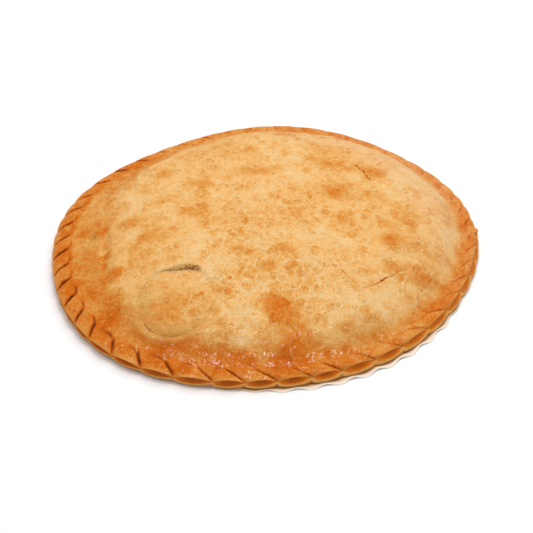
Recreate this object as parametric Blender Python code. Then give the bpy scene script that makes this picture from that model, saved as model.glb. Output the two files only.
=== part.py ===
"""A round meat empanada, about 30 cm across, on the fluted paper round it was baked on.

The crust is one closed solid: a low dome over the filling, a shelf of dough round it, a
rim folded into a rope of crimps, and a flat base. The paper is a thin disc whose edge
is fluted. The origin is on the surface that the paper lies on, under the pie's middle.
"""

import math

import bmesh
import bpy
import numpy as np

MM = 0.001

# The crust's outline: a hand-shaped round, longer from front left to back right
PIE_RADIUS = 148.3 * MM
OUTLINE_WAVES = (  # waves round the outline, height, direction of a crest in degrees
    (2, 4.8 * MM, 44.0),
    (3, 1.1 * MM, -23.0),
    (4, 0.9 * MM, -9.0),
    (5, 1.8 * MM, 13.0),
)

# The rope of crimps
CRIMPS = 46
CRIMP_OFFSET = 0.18  # of a crimp, from the +X side to where the folds are counted from
CRIMP_JITTER = 0.06  # of a crimp's width
CRIMP_SEED = 11
COUNT_STEPS = 1801  # of the search for the creases round the rim
COUNT_MARGIN = 0.5  # radians searched before and past a full turn
CROWDING_WAVES = (  # how the hand ran ahead and behind: waves round, crimps, degrees
    (1, 0.23, 192.0),
    (2, 0.52, 59.0),
    (3, 0.13, 31.0),
    (4, 0.25, 33.5),
)
CRIMP_REACH = 14.0 * MM  # from the lip to the folds' inner ends
CRIMP_SLANT = 1.15  # how far a crease runs along the rim for each unit across it
SLANT_CHANGE = (0.3, -30.0)  # more towards this direction in degrees, less opposite
CRIMP_RELIEF = 2.8 * MM
CRIMP_FLATTENING = (0.45, 60.0, 55.0)  # share lost at the back, direction and spread
CRIMP_CREST = 0.86  # the place across a fold where it is highest
CRIMP_CLIMB = 0.8  # power of the climb to the crest: below 1 is full, above it hollow
CRIMP_STEP = 2.4 * MM  # width of the step at the folds' inner ends
CRIMP_CORNER = 3.0 * MM  # rounding of that step towards the crest
CORNER_START = 0.5  # the place across a fold where that rounding starts
LIP_ROUNDING = 4.0 * MM
FOLD_COLUMNS = (0.0, 0.2, 0.45, 0.7, CRIMP_CREST, 0.95)  # places across each fold
FOLD_REACHES = (  # of the rings over the folds
    CRIMP_REACH,
    CRIMP_REACH - CRIMP_STEP,
    2.0 * LIP_ROUNDING,
    LIP_ROUNDING,
    0.3 * LIP_ROUNDING,
)

# Heights of the rim's parts above the surface that the paper lies on
CREASE_LEVEL = 6.1 * MM
JOINT_LEVEL = 5.0 * MM  # where the lips of two folds meet
UPPER_LIP_RISE = 3.3 * MM
LIP_ARCH = 0.8  # power of the sine arch: below 1 is fuller
LOWER_LIP_DROP = 1.9 * MM
SAG_PLACES = (0.25, 0.45)  # across a fold, between which the lower lip hangs lowest
UNDER_LIP_LEVEL = 4.3 * MM
UNDER_LIP_DROP = 2.1 * MM
LIP_PINCH = 0.35  # how far the lips are pinched together at a joint, as a share
PINCH_RISE = (0.65, -70.0, 55.0)  # more there, direction and spread in degrees
LIP_SEAM = 0.1 * MM  # between the upper and the lower lip at a joint
LIP_BULGE = 1.6 * MM
FACET_DEPTH = 1.4 * MM
FACET_SHALLOW = 0.2  # share of that depth at a joint

# The filled dome and the shelf of dough round it
SHELF_START = 8.4 * MM  # in from the lip, where the rim starts to climb
SHELF_RISE = 3.0 * MM
SHELF_WIDTH = 17.0 * MM  # from the lip to the foot of the dome
SHELF_WIDENING = (  # how much wider the shelf is, direction and spread in degrees
    (18.0 * MM, 186.0, 31.0),
    (2.0 * MM, 90.0, 20.0),
    (-5.0 * MM, 43.0, 16.0),
    (2.5 * MM, 268.0, 30.0),
)
SHOULDER_HEIGHT = 12.0 * MM
SHOULDER_LENGTH = 8.0 * MM
SHOULDER_LENGTHENING = (3.0 * MM, -20.0, 55.0)  # direction and spread in degrees
CROWN_HEIGHT = 12.0 * MM
FOOT_SOFTNESS = 5.0 * MM
FOOT_SOFTENING = (9.0 * MM, 190.0, 45.0)  # direction and spread in degrees
FOLD_LINE_DEPTH = 1.2 * MM  # the groove where the shelf meets the dome on the left
FOLD_LINE_WIDTH = 3.0 * MM
FOLD_LINE_SIDE = (186.0, 16.0)  # direction and spread in degrees
LUMPS = (  # height, wavelength and direction in degrees of the filling's unevenness
    (0.6 * MM, 83.0 * MM, 20.0),
    (0.5 * MM, 64.0 * MM, 97.0),
    (0.4 * MM, 55.0 * MM, 148.0),
)

# The round steam vent, cut with a ring, whose disc has sunk and hangs on at the right
VENT_CENTRE = (-58.0 * MM, -85.0 * MM)
VENT_RADIUS = 26.0 * MM
VENT_SINK = 2.0 * MM
VENT_EDGE_SINK = (  # further sinking at the edge, direction and spread in degrees
    (3.0 * MM, 75.0, 36.0),
    (1.8 * MM, 245.0, 50.0),
)
VENT_DISH = 1.5  # power by which the disc curves down towards its edge
VENT_HINGE = (8.0, 32.0)  # direction and spread in degrees
VENT_EDGE = 1.5 * MM  # width of the step down to the disc
VENT_SOFT_EDGE = (6.0 * MM, 178.0, 32.0)  # wider there, direction and spread

# The underside of the crust and its base
UNDER_LIP_REACH = 2.0 * MM
OVERHANG_LEVEL = 3.4 * MM
OVERHANG_REACH = 7.0 * MM
BASE_REACH = 24.0 * MM
DOME_RINGS = 15
DOME_INNER = 0.42  # share of the way from the middle to the folds, of the last such ring
CROWN_SHARES = (0.33, 0.22, 0.11)
SHARP_ANGLE = 50.0  # degrees between two faces

# The paper round
PAPER_CENTRE = (2.0 * MM, -8.5 * MM)
PAPER_RADIUS = 140.0 * MM
PAPER_THICKNESS = 0.6 * MM
PAPER_GAP = 0.35 * MM
FLAT_RADIUS = 126.0 * MM
FLUTES = 47
FLUTE_CREST = -82.3  # direction of one crest in degrees
FLUTE_COLUMNS = 4
FLUTE_LIFT = 1.4 * MM
FLUTE_HEIGHT = 1.3 * MM
FLUTE_GROWTH = 1.5  # power by which the flutes grow towards the paper's edge
FLUTE_FREE_SIDE = (-50.0, 42.0)  # direction and spread in degrees of the uncovered edge
FLUTE_PRESSED = 0.05  # of the flutes' height that is left under the pie

CRUST_COLOUR = "#D8913F"
CRUST_ROUGHNESS = 0.5
PAPER_COLOUR = "#EFE3D6"
PAPER_ROUGHNESS = 0.7


def hump(angle, centre, spread):
    """1 in the direction centre, falling as a bell curve round the circle, in degrees."""
    gap = (angle - math.radians(centre) + math.pi) % math.tau - math.pi
    return np.exp(-0.5 * (gap / math.radians(spread)) ** 2)


def smooth(x):
    """0 below 0, 1 above 1, and an S curve between."""
    x = np.clip(x, 0.0, 1.0)
    return x * x * (3.0 - 2.0 * x)


def outline(angle):
    """Radius of the rim's lip: a circle with a few low waves round it."""
    waves = sum(
        height * np.cos(count * (angle - math.radians(crest)))
        for count, height, crest in OUTLINE_WAVES
    )
    return PIE_RADIUS + waves


def crease_angles():
    """Where each crease meets the lip, going round. The last is the first, a turn on.

    The folds are counted round the rim as an even count plus slow waves, and a crease
    is wherever the count is whole, give or take a little.
    """
    fine = np.linspace(-COUNT_MARGIN, math.tau + COUNT_MARGIN, COUNT_STEPS)
    count = CRIMPS * fine / math.tau - CRIMP_OFFSET
    for waves, crimps, crest in CROWDING_WAVES:
        count += crimps * np.cos(waves * (fine - math.radians(crest)))
    rng = np.random.default_rng(CRIMP_SEED)
    wander = rng.uniform(-CRIMP_JITTER, CRIMP_JITTER, CRIMPS)
    angles = np.interp(np.arange(CRIMPS) + wander, count, fine)
    return np.append(angles, angles[0] + math.tau)


def rim_columns():
    """(angle at the lip, place across the fold) of each column of points round the rim."""
    creases = crease_angles()
    place = np.array(FOLD_COLUMNS)
    widths = np.diff(creases)
    angle = (creases[:-1, None] + widths[:, None] * place).ravel()
    return angle, np.tile(place, CRIMPS)


def slanted(angle, reach):
    """The columns' angles this far in from the lip: they follow the slanting creases."""
    change, side = SLANT_CHANGE
    slant = CRIMP_SLANT + change * np.cos(angle - math.radians(side))
    return angle - slant * min(reach, CRIMP_REACH) / PIE_RADIUS


def vent_sink(x, y):
    """How far the vent's disc lies below the crust: most at its back and front edges."""
    across, along = x - VENT_CENTRE[0], y - VENT_CENTRE[1]
    distance = np.hypot(across, along)
    angle = np.arctan2(along, across)
    edge = sum(
        depth * hump(angle, side, spread) for depth, side, spread in VENT_EDGE_SINK
    )
    depth = VENT_SINK + edge * np.clip(distance / VENT_RADIUS, 0.0, 1.0) ** VENT_DISH
    free = 1.0 - hump(angle, *VENT_HINGE) * smooth(distance / VENT_RADIUS)
    extra, side, spread = VENT_SOFT_EDGE
    edge_width = VENT_EDGE + extra * hump(angle, side, spread)
    return depth * free * smooth((VENT_RADIUS - distance) / edge_width)


def crust_height(angle, reach):
    """Height of the crust, without its folds, this far in from the lip.

    A pressed rim, a shelf that climbs gently, then the dome: a steep shoulder that dies
    away as an exponential, and a crown that flattens as a parabola, with low lumps.
    """
    foot = SHELF_WIDTH + sum(
        extra * hump(angle, side, spread) for extra, side, spread in SHELF_WIDENING
    )
    inward = reach - foot
    extra, side, spread = FOOT_SOFTENING
    softness = FOOT_SOFTNESS + extra * hump(angle, side, spread)
    climb = (inward + np.sqrt(inward**2 + softness**2)) / 2.0
    dome_radius = outline(angle) - foot
    crown = 1.0 - (1.0 - np.clip(climb / dome_radius, 0.0, 1.0)) ** 2
    height = CREASE_LEVEL + CROWN_HEIGHT * crown
    height += SHELF_RISE * smooth((reach - SHELF_START) / foot)
    extra, side, spread = SHOULDER_LENGTHENING
    shoulder = SHOULDER_LENGTH + extra * hump(angle, side, spread)
    height += SHOULDER_HEIGHT * (1.0 - np.exp(-climb / shoulder))
    groove = np.exp(-0.5 * ((inward - FOOT_SOFTNESS) / FOLD_LINE_WIDTH) ** 2)
    height -= FOLD_LINE_DEPTH * groove * hump(angle, *FOLD_LINE_SIDE)

    radius = outline(angle) - reach
    x, y = radius * np.cos(angle), radius * np.sin(angle)
    bearing = smooth(climb / (2.0 * SHOULDER_LENGTH))
    for size, wavelength, side in LUMPS:
        along = x * math.cos(math.radians(side)) + y * math.sin(math.radians(side))
        height += size * bearing * np.sin(math.tau * along / wavelength)
    return height - vent_sink(x, y)


def fold_strength(angle):
    """The folds' height as a share of the full one: they were pressed flatter behind."""
    share, side, spread = CRIMP_FLATTENING
    return 1.0 - share * hump(angle, side, spread)


def pinched(angle, arch):
    """The arch of a lip between two joints, flattened where the fingers pinched less."""
    share, side, spread = PINCH_RISE
    return 1.0 - (LIP_PINCH + share * hump(angle, side, spread)) * (1.0 - arch)


def upper_lip(angle, place):
    """Height of the rim's upper edge, which arches over each fold."""
    arch = pinched(angle, np.sin(math.pi * place) ** LIP_ARCH)
    return JOINT_LEVEL + UPPER_LIP_RISE * fold_strength(angle) * arch


def fold_relief(place, reach):
    """Height of a fold over the pressed rim: it climbs to its crest and drops to the
    next crease, and steps down at its inner end, whose corner is rounded."""
    climb = (place / CRIMP_CREST) ** CRIMP_CLIMB
    drop = 1.0 - smooth((place - CRIMP_CREST) / (1.0 - CRIMP_CREST))
    corner = smooth((place - CORNER_START) / (CRIMP_CREST - CORNER_START))
    end = CRIMP_REACH - CRIMP_CORNER * corner
    step = 1.0 - smooth((reach - end + CRIMP_STEP) / CRIMP_STEP)
    return CRIMP_RELIEF * climb * drop * step


def ring(angle, reach, height):
    """Points round the pie at a distance in from the lip, as an array of x, y, z."""
    radius = outline(angle) - reach
    height = np.broadcast_to(height, angle.shape)
    return np.column_stack([radius * np.cos(angle), radius * np.sin(angle), height])


def top_ring(angle, place, reach):
    """A ring over the folds. Near the lip the top rounds over as a quarter sine."""
    here = slanted(angle, reach)
    inner_reach = max(reach, LIP_ROUNDING)
    folds = fold_strength(here) * fold_relief(place, inner_reach)
    height = crust_height(here, inner_reach) + folds
    if reach < LIP_ROUNDING:
        lip = upper_lip(here, place)
        rounding = np.sin(0.5 * math.pi * max(reach, 0.0) / LIP_ROUNDING)
        height = lip + (height - lip) * rounding
    return ring(here, reach, height)


def edge_rings(angle, place):
    """The rim's outer side, fold by fold: the upper lip arches up and the lower lip
    down, with a hollow facet between them, and they pinch together at each joint."""
    arch = pinched(angle, np.sin(math.pi * place))
    start, end = SAG_PLACES
    sag = smooth(place / start) * (1.0 - smooth((place - end) / (1.0 - end)))
    sag = pinched(angle, sag)
    bulge = LIP_BULGE * (np.sqrt(arch) - 0.5)
    hollow = FACET_DEPTH * (FACET_SHALLOW + (1.0 - FACET_SHALLOW) * arch)
    upper = upper_lip(angle, place)
    lower = JOINT_LEVEL - LIP_SEAM - LOWER_LIP_DROP * sag
    under = UNDER_LIP_LEVEL - UNDER_LIP_DROP * sag
    return [
        ring(angle, -bulge, upper),
        ring(angle, hollow - bulge, (upper + lower) / 2.0),
        ring(angle, -bulge, lower),
        ring(angle, UNDER_LIP_REACH - bulge, under),
    ]


def base_rings(angle):
    """The underside: the overhang of the rim, then the edge of the flat base."""
    base_level = PAPER_THICKNESS + PAPER_GAP
    return [
        ring(angle, OVERHANG_REACH, OVERHANG_LEVEL),
        ring(angle, BASE_REACH, base_level),
    ]


def dome_ring(angle, share):
    """A ring of the dome, at this share of the way from its middle to the folds."""
    reach = outline(angle) - share * (outline(angle) - CRIMP_REACH)
    return ring(angle, reach, crust_height(angle, reach))


def add_ring(bm, points):
    """Adds the points to the mesh and returns them as a ring of vertices."""
    return [bm.verts.new(point) for point in points]


def skin(bm, outer, inner):
    """Joins two closed rings. The inner ring has as many points or half as many."""
    count = len(inner)
    for i in range(count):
        j = (i + 1) % count
        if len(outer) == count:
            bm.faces.new((outer[i], outer[j], inner[j], inner[i]))
        else:
            near, middle, far = outer[2 * i], outer[2 * i + 1], outer[2 * j]
            bm.faces.new((near, middle, inner[i]))
            bm.faces.new((middle, far, inner[j], inner[i]))


def link(name, bm, collection, material):
    """Writes the mesh, all in triangles, to a new object."""
    bmesh.ops.triangulate(bm, faces=bm.faces[:])
    bmesh.ops.recalc_face_normals(bm, faces=bm.faces[:])
    mesh = bpy.data.meshes.new(name)
    bm.to_mesh(mesh)
    bm.free()
    mesh.materials.append(material)
    mesh.shade_smooth()
    mesh.set_sharp_from_angle(angle=math.radians(SHARP_ANGLE))
    obj = bpy.data.objects.new(name, mesh)
    collection.objects.link(obj)
    return obj


def build_crust(collection, material):
    """The whole pie, lofted ring by ring from the middle of the top to the base."""
    bm = bmesh.new()
    angle, place = rim_columns()
    inner_angle = slanted(angle, CRIMP_REACH)[::2]

    crown = [add_ring(bm, dome_ring(inner_angle[::2], s)) for s in CROWN_SHARES]
    dome_shares = np.linspace(1.0, DOME_INNER, DOME_RINGS + 1)[1:]
    dome = [add_ring(bm, dome_ring(inner_angle, share)) for share in dome_shares]
    folds = [add_ring(bm, top_ring(angle, place, reach)) for reach in FOLD_REACHES]
    side = [add_ring(bm, points) for points in edge_rings(angle, place)]
    base = [add_ring(bm, points) for points in base_rings(angle)]

    rings = base[::-1] + side[::-1] + folds[::-1] + dome + crown
    for outer, inner in zip(rings[:-1], rings[1:]):
        skin(bm, outer, inner)
    bm.faces.new(base[-1])
    middle = bm.verts.new((0.0, 0.0, float(crust_height(0.0, outline(0.0)))))
    last = crown[-1]
    for i, point in enumerate(last):
        bm.faces.new((point, last[(i + 1) % len(last)], middle))
    return link("empanada", bm, collection, material)


def paper_ring(angle, share, level):
    """A ring of the paper at this share of the fluted border, from flat to edge.

    The flutes are a cosine round the border that grows as a power of the share.
    """
    radius = FLAT_RADIUS + share * (PAPER_RADIUS - FLAT_RADIUS)
    free = FLUTE_PRESSED + (1.0 - FLUTE_PRESSED) * hump(angle, *FLUTE_FREE_SIDE)
    wave = np.cos(FLUTES * (angle - math.radians(FLUTE_CREST)))
    flute = FLUTE_LIFT + FLUTE_HEIGHT * wave
    height = level + share**FLUTE_GROWTH * free * flute
    x = PAPER_CENTRE[0] + radius * np.cos(angle)
    y = PAPER_CENTRE[1] + radius * np.sin(angle)
    return np.column_stack([x, y, height])


def build_paper(collection, material):
    """The paper round: a thin flat disc whose border is fluted and lifts off."""
    bm = bmesh.new()
    angle = np.linspace(0.0, math.tau, FLUTES * FLUTE_COLUMNS, endpoint=False)
    angle += math.radians(FLUTE_CREST)
    shares = (0.0, 0.5, 1.0)
    upper = [add_ring(bm, paper_ring(angle, s, PAPER_THICKNESS)) for s in shares]
    lower = [add_ring(bm, paper_ring(angle, s, 0.0)) for s in shares]
    rings = lower + upper[::-1]
    for outer, inner in zip(rings[:-1], rings[1:]):
        skin(bm, outer, inner)
    bm.faces.new(lower[0])
    bm.faces.new(upper[0])
    return link("paper_round", bm, collection, material)


def finish(name, colour, roughness):
    """A material with a Principled BSDF, its colour given as an sRGB hex value."""
    srgb = np.array([int(colour[i : i + 2], 16) for i in (1, 3, 5)]) / 255.0
    linear = np.where(srgb <= 0.04045, srgb / 12.92, ((srgb + 0.055) / 1.055) ** 2.4)
    material = bpy.data.materials.new(name)
    material.use_nodes = True
    shader = material.node_tree.nodes["Principled BSDF"]
    shader.inputs["Base Color"].default_value = (*linear, 1.0)
    shader.inputs["Roughness"].default_value = roughness
    shader.inputs["Metallic"].default_value = 0.0
    return material


def main():
    for obj in list(bpy.data.objects):
        bpy.data.objects.remove(obj)
    collection = bpy.data.collections.new("Meat empanada")
    bpy.context.scene.collection.children.link(collection)
    build_crust(collection, finish("Baked crust", CRUST_COLOUR, CRUST_ROUGHNESS))
    build_paper(collection, finish("Baking paper", PAPER_COLOUR, PAPER_ROUGHNESS))


main()
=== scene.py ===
"""The looks of a round meat empanada on the fluted paper round it was baked on.

The pie is one surface worked out ring by ring from the middle of the dome to the base,
with its folds, vent, blisters and browning, and the paper is a fluted disc under it.
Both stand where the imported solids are, in metres.
"""

import functools
import math

import bpy
import numpy as np
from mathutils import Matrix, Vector


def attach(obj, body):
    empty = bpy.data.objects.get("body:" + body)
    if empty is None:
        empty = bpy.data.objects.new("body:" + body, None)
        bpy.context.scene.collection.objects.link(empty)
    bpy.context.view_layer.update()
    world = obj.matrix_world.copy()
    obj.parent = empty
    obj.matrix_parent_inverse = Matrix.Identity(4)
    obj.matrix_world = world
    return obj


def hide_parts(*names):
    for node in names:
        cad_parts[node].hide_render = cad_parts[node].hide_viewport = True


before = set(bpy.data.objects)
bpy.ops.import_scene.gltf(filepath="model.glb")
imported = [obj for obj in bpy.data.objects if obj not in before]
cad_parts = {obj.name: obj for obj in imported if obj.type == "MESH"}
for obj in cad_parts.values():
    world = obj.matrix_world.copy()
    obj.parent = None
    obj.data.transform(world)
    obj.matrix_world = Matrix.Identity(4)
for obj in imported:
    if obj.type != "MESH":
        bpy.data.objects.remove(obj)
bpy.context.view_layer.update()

MM = 0.001

# The photograph's camera: it looks straight along Y, and down on the pie
PHOTO_WIDTH = 533.0  # pixels, and as many high
PHOTO_FOCAL = 1503.6  # pixels of the photograph
CAMERA_ELEVATION = 38.0
CAMERA_DISTANCE = 1.050
CAMERA_TARGET = (1.05 * MM, -19.7 * MM, 0.0)
SENSOR_WIDTH = 36.0
SIGHT_ROUNDS = 12  # of finding the crust's height on a line of sight

# The crust's outline: a hand-shaped round, longer from front left to back right
PIE_RADIUS = 148.3 * MM
OUTLINE_WAVES = (  # waves round the outline, height, direction of a crest in degrees
    (2, 4.8 * MM, 44.0),
    (3, 1.1 * MM, -23.0),
    (4, 0.9 * MM, -9.0),
    (5, 1.8 * MM, 13.0),
)

# The rope of crimps
CRIMPS = 46
CRIMP_OFFSET = 0.18  # of a crimp, from the +X side to where the folds are counted from
CRIMP_JITTER = 0.06  # of a crimp's width
CRIMP_SEED = 11
COUNT_STEPS = 1801  # of the search for the creases round the rim
COUNT_MARGIN = 0.5  # radians searched before and past a full turn
CROWDING_WAVES = (  # how the hand ran ahead and behind: waves round, crimps, degrees
    (1, 0.23, 192.0),
    (2, 0.52, 59.0),
    (3, 0.13, 31.0),
    (4, 0.25, 33.5),
)
CRIMP_COLUMNS = 18
CREASE_CROWDING = 0.1  # how far the columns are drawn towards the creases
CRIMP_REACH = 14.0 * MM  # from the lip, where the creases' slant ends
SLANTS = (  # direction in degrees, how far a crease runs along the rim for each unit in
    (15.0, 0.95),
    (45.0, 0.5),
    (158.0, 1.5),
    (205.0, 0.65),
    (235.0, 0.85),
    (272.0, 1.5),
    (300.0, 0.95),
    (350.0, 1.6),
)
FOLD_ENDS = (  # direction in degrees, from the lip to the folds' inner ends in mm
    (0.0, 9.5),
    (60.0, 8.0),
    (120.0, 9.0),
    (160.0, 12.0),
    (205.0, 14.0),
    (235.0, 12.0),
    (265.0, 12.0),
    (300.0, 12.5),
)
STEP_WIDTHS = (  # direction in degrees, width in mm of the step at the folds' inner ends
    (0.0, 2.5),
    (60.0, 2.0),
    (120.0, 3.0),
    (170.0, 2.0),
    (205.0, 1.6),
    (240.0, 1.8),
    (265.0, 3.0),
    (300.0, 3.0),
)
CRIMP_RELIEF = 2.6 * MM
CRIMP_FLATTENING = (0.78, 92.0, 58.0)  # share lost at the back, direction and spread
FOLD_LOWERING = (0.5, 236.0, 30.0)  # share of their tops lost, direction and spread
CRIMP_CREST = 0.92  # the place across a fold where it is highest
CRIMP_CLIMB = 0.8  # power of the climb to the crest: below 1 is full, above it hollow
CRIMP_CUSHION = 0.3  # share of a fold that is a cushion
CUSHION_RISE = (0.5, 195.0, 50.0)  # more there, direction and spread in degrees
CUSHION_POWER = 7.0  # of the cushion's flatness
CRIMP_CORNER = 1.8 * MM  # rounding of the step at a fold's inner end, next to the crease
CORNER_START = 0.82  # the place across a fold where that rounding starts
FOLD_VARIETY = 0.14  # how far one fold's height differs from the next, as a share
END_VARIETY = 1.3 * MM  # how far one fold's inner end differs from the next
CREASE_DEPTH = 0.85 * MM
LIP_ROUNDING = 4.0 * MM

# Heights of the rim's parts above the surface that the paper lies on
CREASE_LEVEL = 6.1 * MM
JOINT_LEVEL = 5.0 * MM  # where the lips of two folds meet
UPPER_LIP_RISE = 3.3 * MM
LIP_ARCH = 0.8  # power of the sine arch: below 1 is fuller
LOWER_LIP_DROP = 1.9 * MM
DROP_LOSS = (0.5, -56.0, 22.0)  # less there, direction and spread in degrees
SAG_PLACES = (0.14, 0.4)  # across a fold, between which the lower lip hangs lowest
BOTTOM_LEVEL = 1.4 * MM
LIP_PINCH = 0.35  # how far the lips are pinched together at a joint, as a share
PINCH_RISE = (0.65, -70.0, 55.0)  # more there, direction and spread in degrees
LIP_BULGE = 1.6 * MM
LIP_LEANS = (  # the upper lip further in, direction and spread in degrees
    (2.2 * MM, -6.0, 15.0),
    (2.6 * MM, -60.0, 25.0),
)
BULGE_LOSS = (0.6, 20.0, 45.0)  # less there, direction and spread in degrees
FACET_DEPTH = 0.8 * MM
LOWER_LIP_IN = (1.2 * MM, 222.0, 28.0)  # the lower lip further in, direction and spread

# The rows of the rim's outer side above its bottom, and how far out each is
GROOVE_ROWS = ((-0.4 * MM, 0.3), (-0.3 * MM, 0.7))  # out, share of the way up to the groove
GROOVE_PLACE = -0.2 * MM
GROOVE_START = 0.3  # the place across a fold where the groove starts to climb
GROOVE_GAP = 1.2 * MM  # how far it climbs to gape fully
GROOVE_OUT = 0.3 * MM  # how much further out the rows below it are there
LOWER_LIP_ROWS = ((0.35 * MM, 0.25), (0.6 * MM, 0.55), (0.45 * MM, 0.85))  # out, share up
FACET_PLACE = 0.1 * MM
FACET_ENDS = 0.2  # of a facet's depth that is left where the lips are pinched shut
FACET_CURVE = 3  # power by which its hollow rises to its borders
UPPER_EDGE = (-0.1 * MM, 0.25 * MM)  # out, and how far below it a facet ends

# The filled dome and the shelf of dough round it
SHELF_START = 8.4 * MM  # in from the lip, where the rim starts to climb
SHELF_RISE = 3.0 * MM
SHELF_WIDTH = 17.0 * MM  # from the lip to the foot of the dome
SHELF_WIDENING = (  # how much wider the shelf is, direction and spread in degrees
    (18.0 * MM, 186.0, 31.0),
    (2.0 * MM, 90.0, 20.0),
    (-5.0 * MM, 43.0, 16.0),
    (2.5 * MM, 268.0, 30.0),
)
SHOULDER_HEIGHT = 12.0 * MM
SHOULDER_LENGTH = 8.0 * MM
SHOULDER_LENGTHENING = (3.0 * MM, -20.0, 55.0)  # direction and spread in degrees
CROWN_HEIGHT = 12.0 * MM
FOOT_SOFTNESS = 5.0 * MM
FOOT_SOFTENING = (9.0 * MM, 190.0, 45.0)  # direction and spread in degrees
FOLD_LINE_DEPTH = 1.9 * MM  # the groove where the shelf meets the dome on the left
FOLD_LINE_WIDTH = 2.2 * MM
FOLD_LINE_PLACE = 1.3 * MM  # in from the foot
FOLD_LINE_SIDE = (189.0, 12.0)  # direction and spread in degrees
LUMPS = (  # height, wavelength and direction in degrees of the filling's unevenness
    (0.6 * MM, 83.0 * MM, 20.0),
    (0.5 * MM, 64.0 * MM, 97.0),
    (0.4 * MM, 55.0 * MM, 148.0),
)
LUMPS_FULL = 16.0 * MM  # in from the foot, where they are full

# The round steam vent, cut with a ring, whose disc has sunk and hangs on at the right
VENT_CENTRE = (-58.0 * MM, -85.0 * MM)
VENT_RADIUS = 26.0 * MM
VENT_WIDENING = (  # of the disc, direction and spread in degrees
    (1.6 * MM, 62.0, 16.0),
    (1.4 * MM, 118.0, 16.0),
    (3.2 * MM, 280.0, 42.0),
)
VENT_SINK = 2.2 * MM
VENT_EDGE_SINK = (  # further sinking at the edge, direction and spread in degrees
    (2.0 * MM, 88.0, 20.0),
    (-1.0 * MM, 140.0, 24.0),
    (2.4 * MM, 245.0, 50.0),
)
VENT_DISH = 1.5  # power by which the disc curves down towards its edge
VENT_HINGE = (5.0, 30.0)  # direction and spread in degrees
VENT_EDGE = 1.0 * MM  # width of the step down to the disc
VENT_SOFT_EDGE = (  # wider there inside and outside, direction and spread in degrees
    (7.0 * MM, 0.0, 185.0, 38.0),
    (0.0, 3.0 * MM, 80.0, 26.0),
)
VENT_LIP_RISE = 1.7 * MM
VENT_LIP = (2.6 * MM, 2.8 * MM, 252.0, 48.0)  # out from the edge, width, direction, spread
VENT_CROWDING = 0.5  # how far the grid's points are drawn towards the vent's edge
VENT_CROWDING_BAND = 6.0 * MM

# The grid's rows, counted in from the lip
RIM_START = 0.5 * MM
RIM_ROW = 0.7 * MM
RIM_ROWS_END = 17.5 * MM
DOME_ROW = 1.2 * MM
EVEN_REACH = 20.0 * MM  # the columns even out over this length inside the folds
HALVING_RADII = (75.0 * MM, 38.0 * MM)
MIDDLE_RADIUS = 6.0 * MM
BASE_LEVEL = 0.95 * MM
BASE_ROWS = ((12.0 * MM, 0.95 * MM), (7.0 * MM, 1.1 * MM), (4.0 * MM, 1.5 * MM))  # in, up
BASE_BROWN = 0.62

# The paper round
PAPER_CENTRE = (2.0 * MM, -8.5 * MM)
PAPER_RADIUS = 140.0 * MM
PAPER_THICKNESS = 0.3 * MM
FLAT_RADIUS = 126.0 * MM
FLUTES = 47
FLUTE_CREST = -82.3  # direction of one crest in degrees
FLUTE_COLUMNS = 16
FLUTE_ROWS = 12
FLUTE_LIFT = 0.65 * MM
FLUTE_HEIGHT = 0.65 * MM
FLUTE_SCALLOP = 1.2 * MM  # how far the crests are drawn in at the edge
SCALLOP_GROWTH = 3  # power by which that grows towards the edge
FLUTE_GROWTH = 1.5  # power by which the flutes grow towards the paper's edge
FLUTE_FREE_SIDE = (-50.0, 42.0)  # direction and spread in degrees of the uncovered edge
FLUTE_PRESSED = 0.05  # of the flutes' height that is left under the pie

# Relief of the baked dough
LATTICE = 256
SWELLS = ((0.35 * MM, 26.0 * MM, 1), (0.25 * MM, 12.0 * MM, 2), (0.12 * MM, 5.5 * MM, 3))
BLISTERS = (  # spacing, height, share of them that rose, seed
    (11.0 * MM, 0.55 * MM, 0.45, 21),
    (5.5 * MM, 0.25 * MM, 0.6, 22),
)
BLISTER_RADII = (0.22, 0.2)  # of the spacing: the smallest, and the most that is added
BLISTER_FULLNESS = 0.7  # power of a blister's dome: below 1 is fuller
SCATTER_MARGIN = 0.1  # of the spacing, from a centre to its square's border at least

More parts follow.
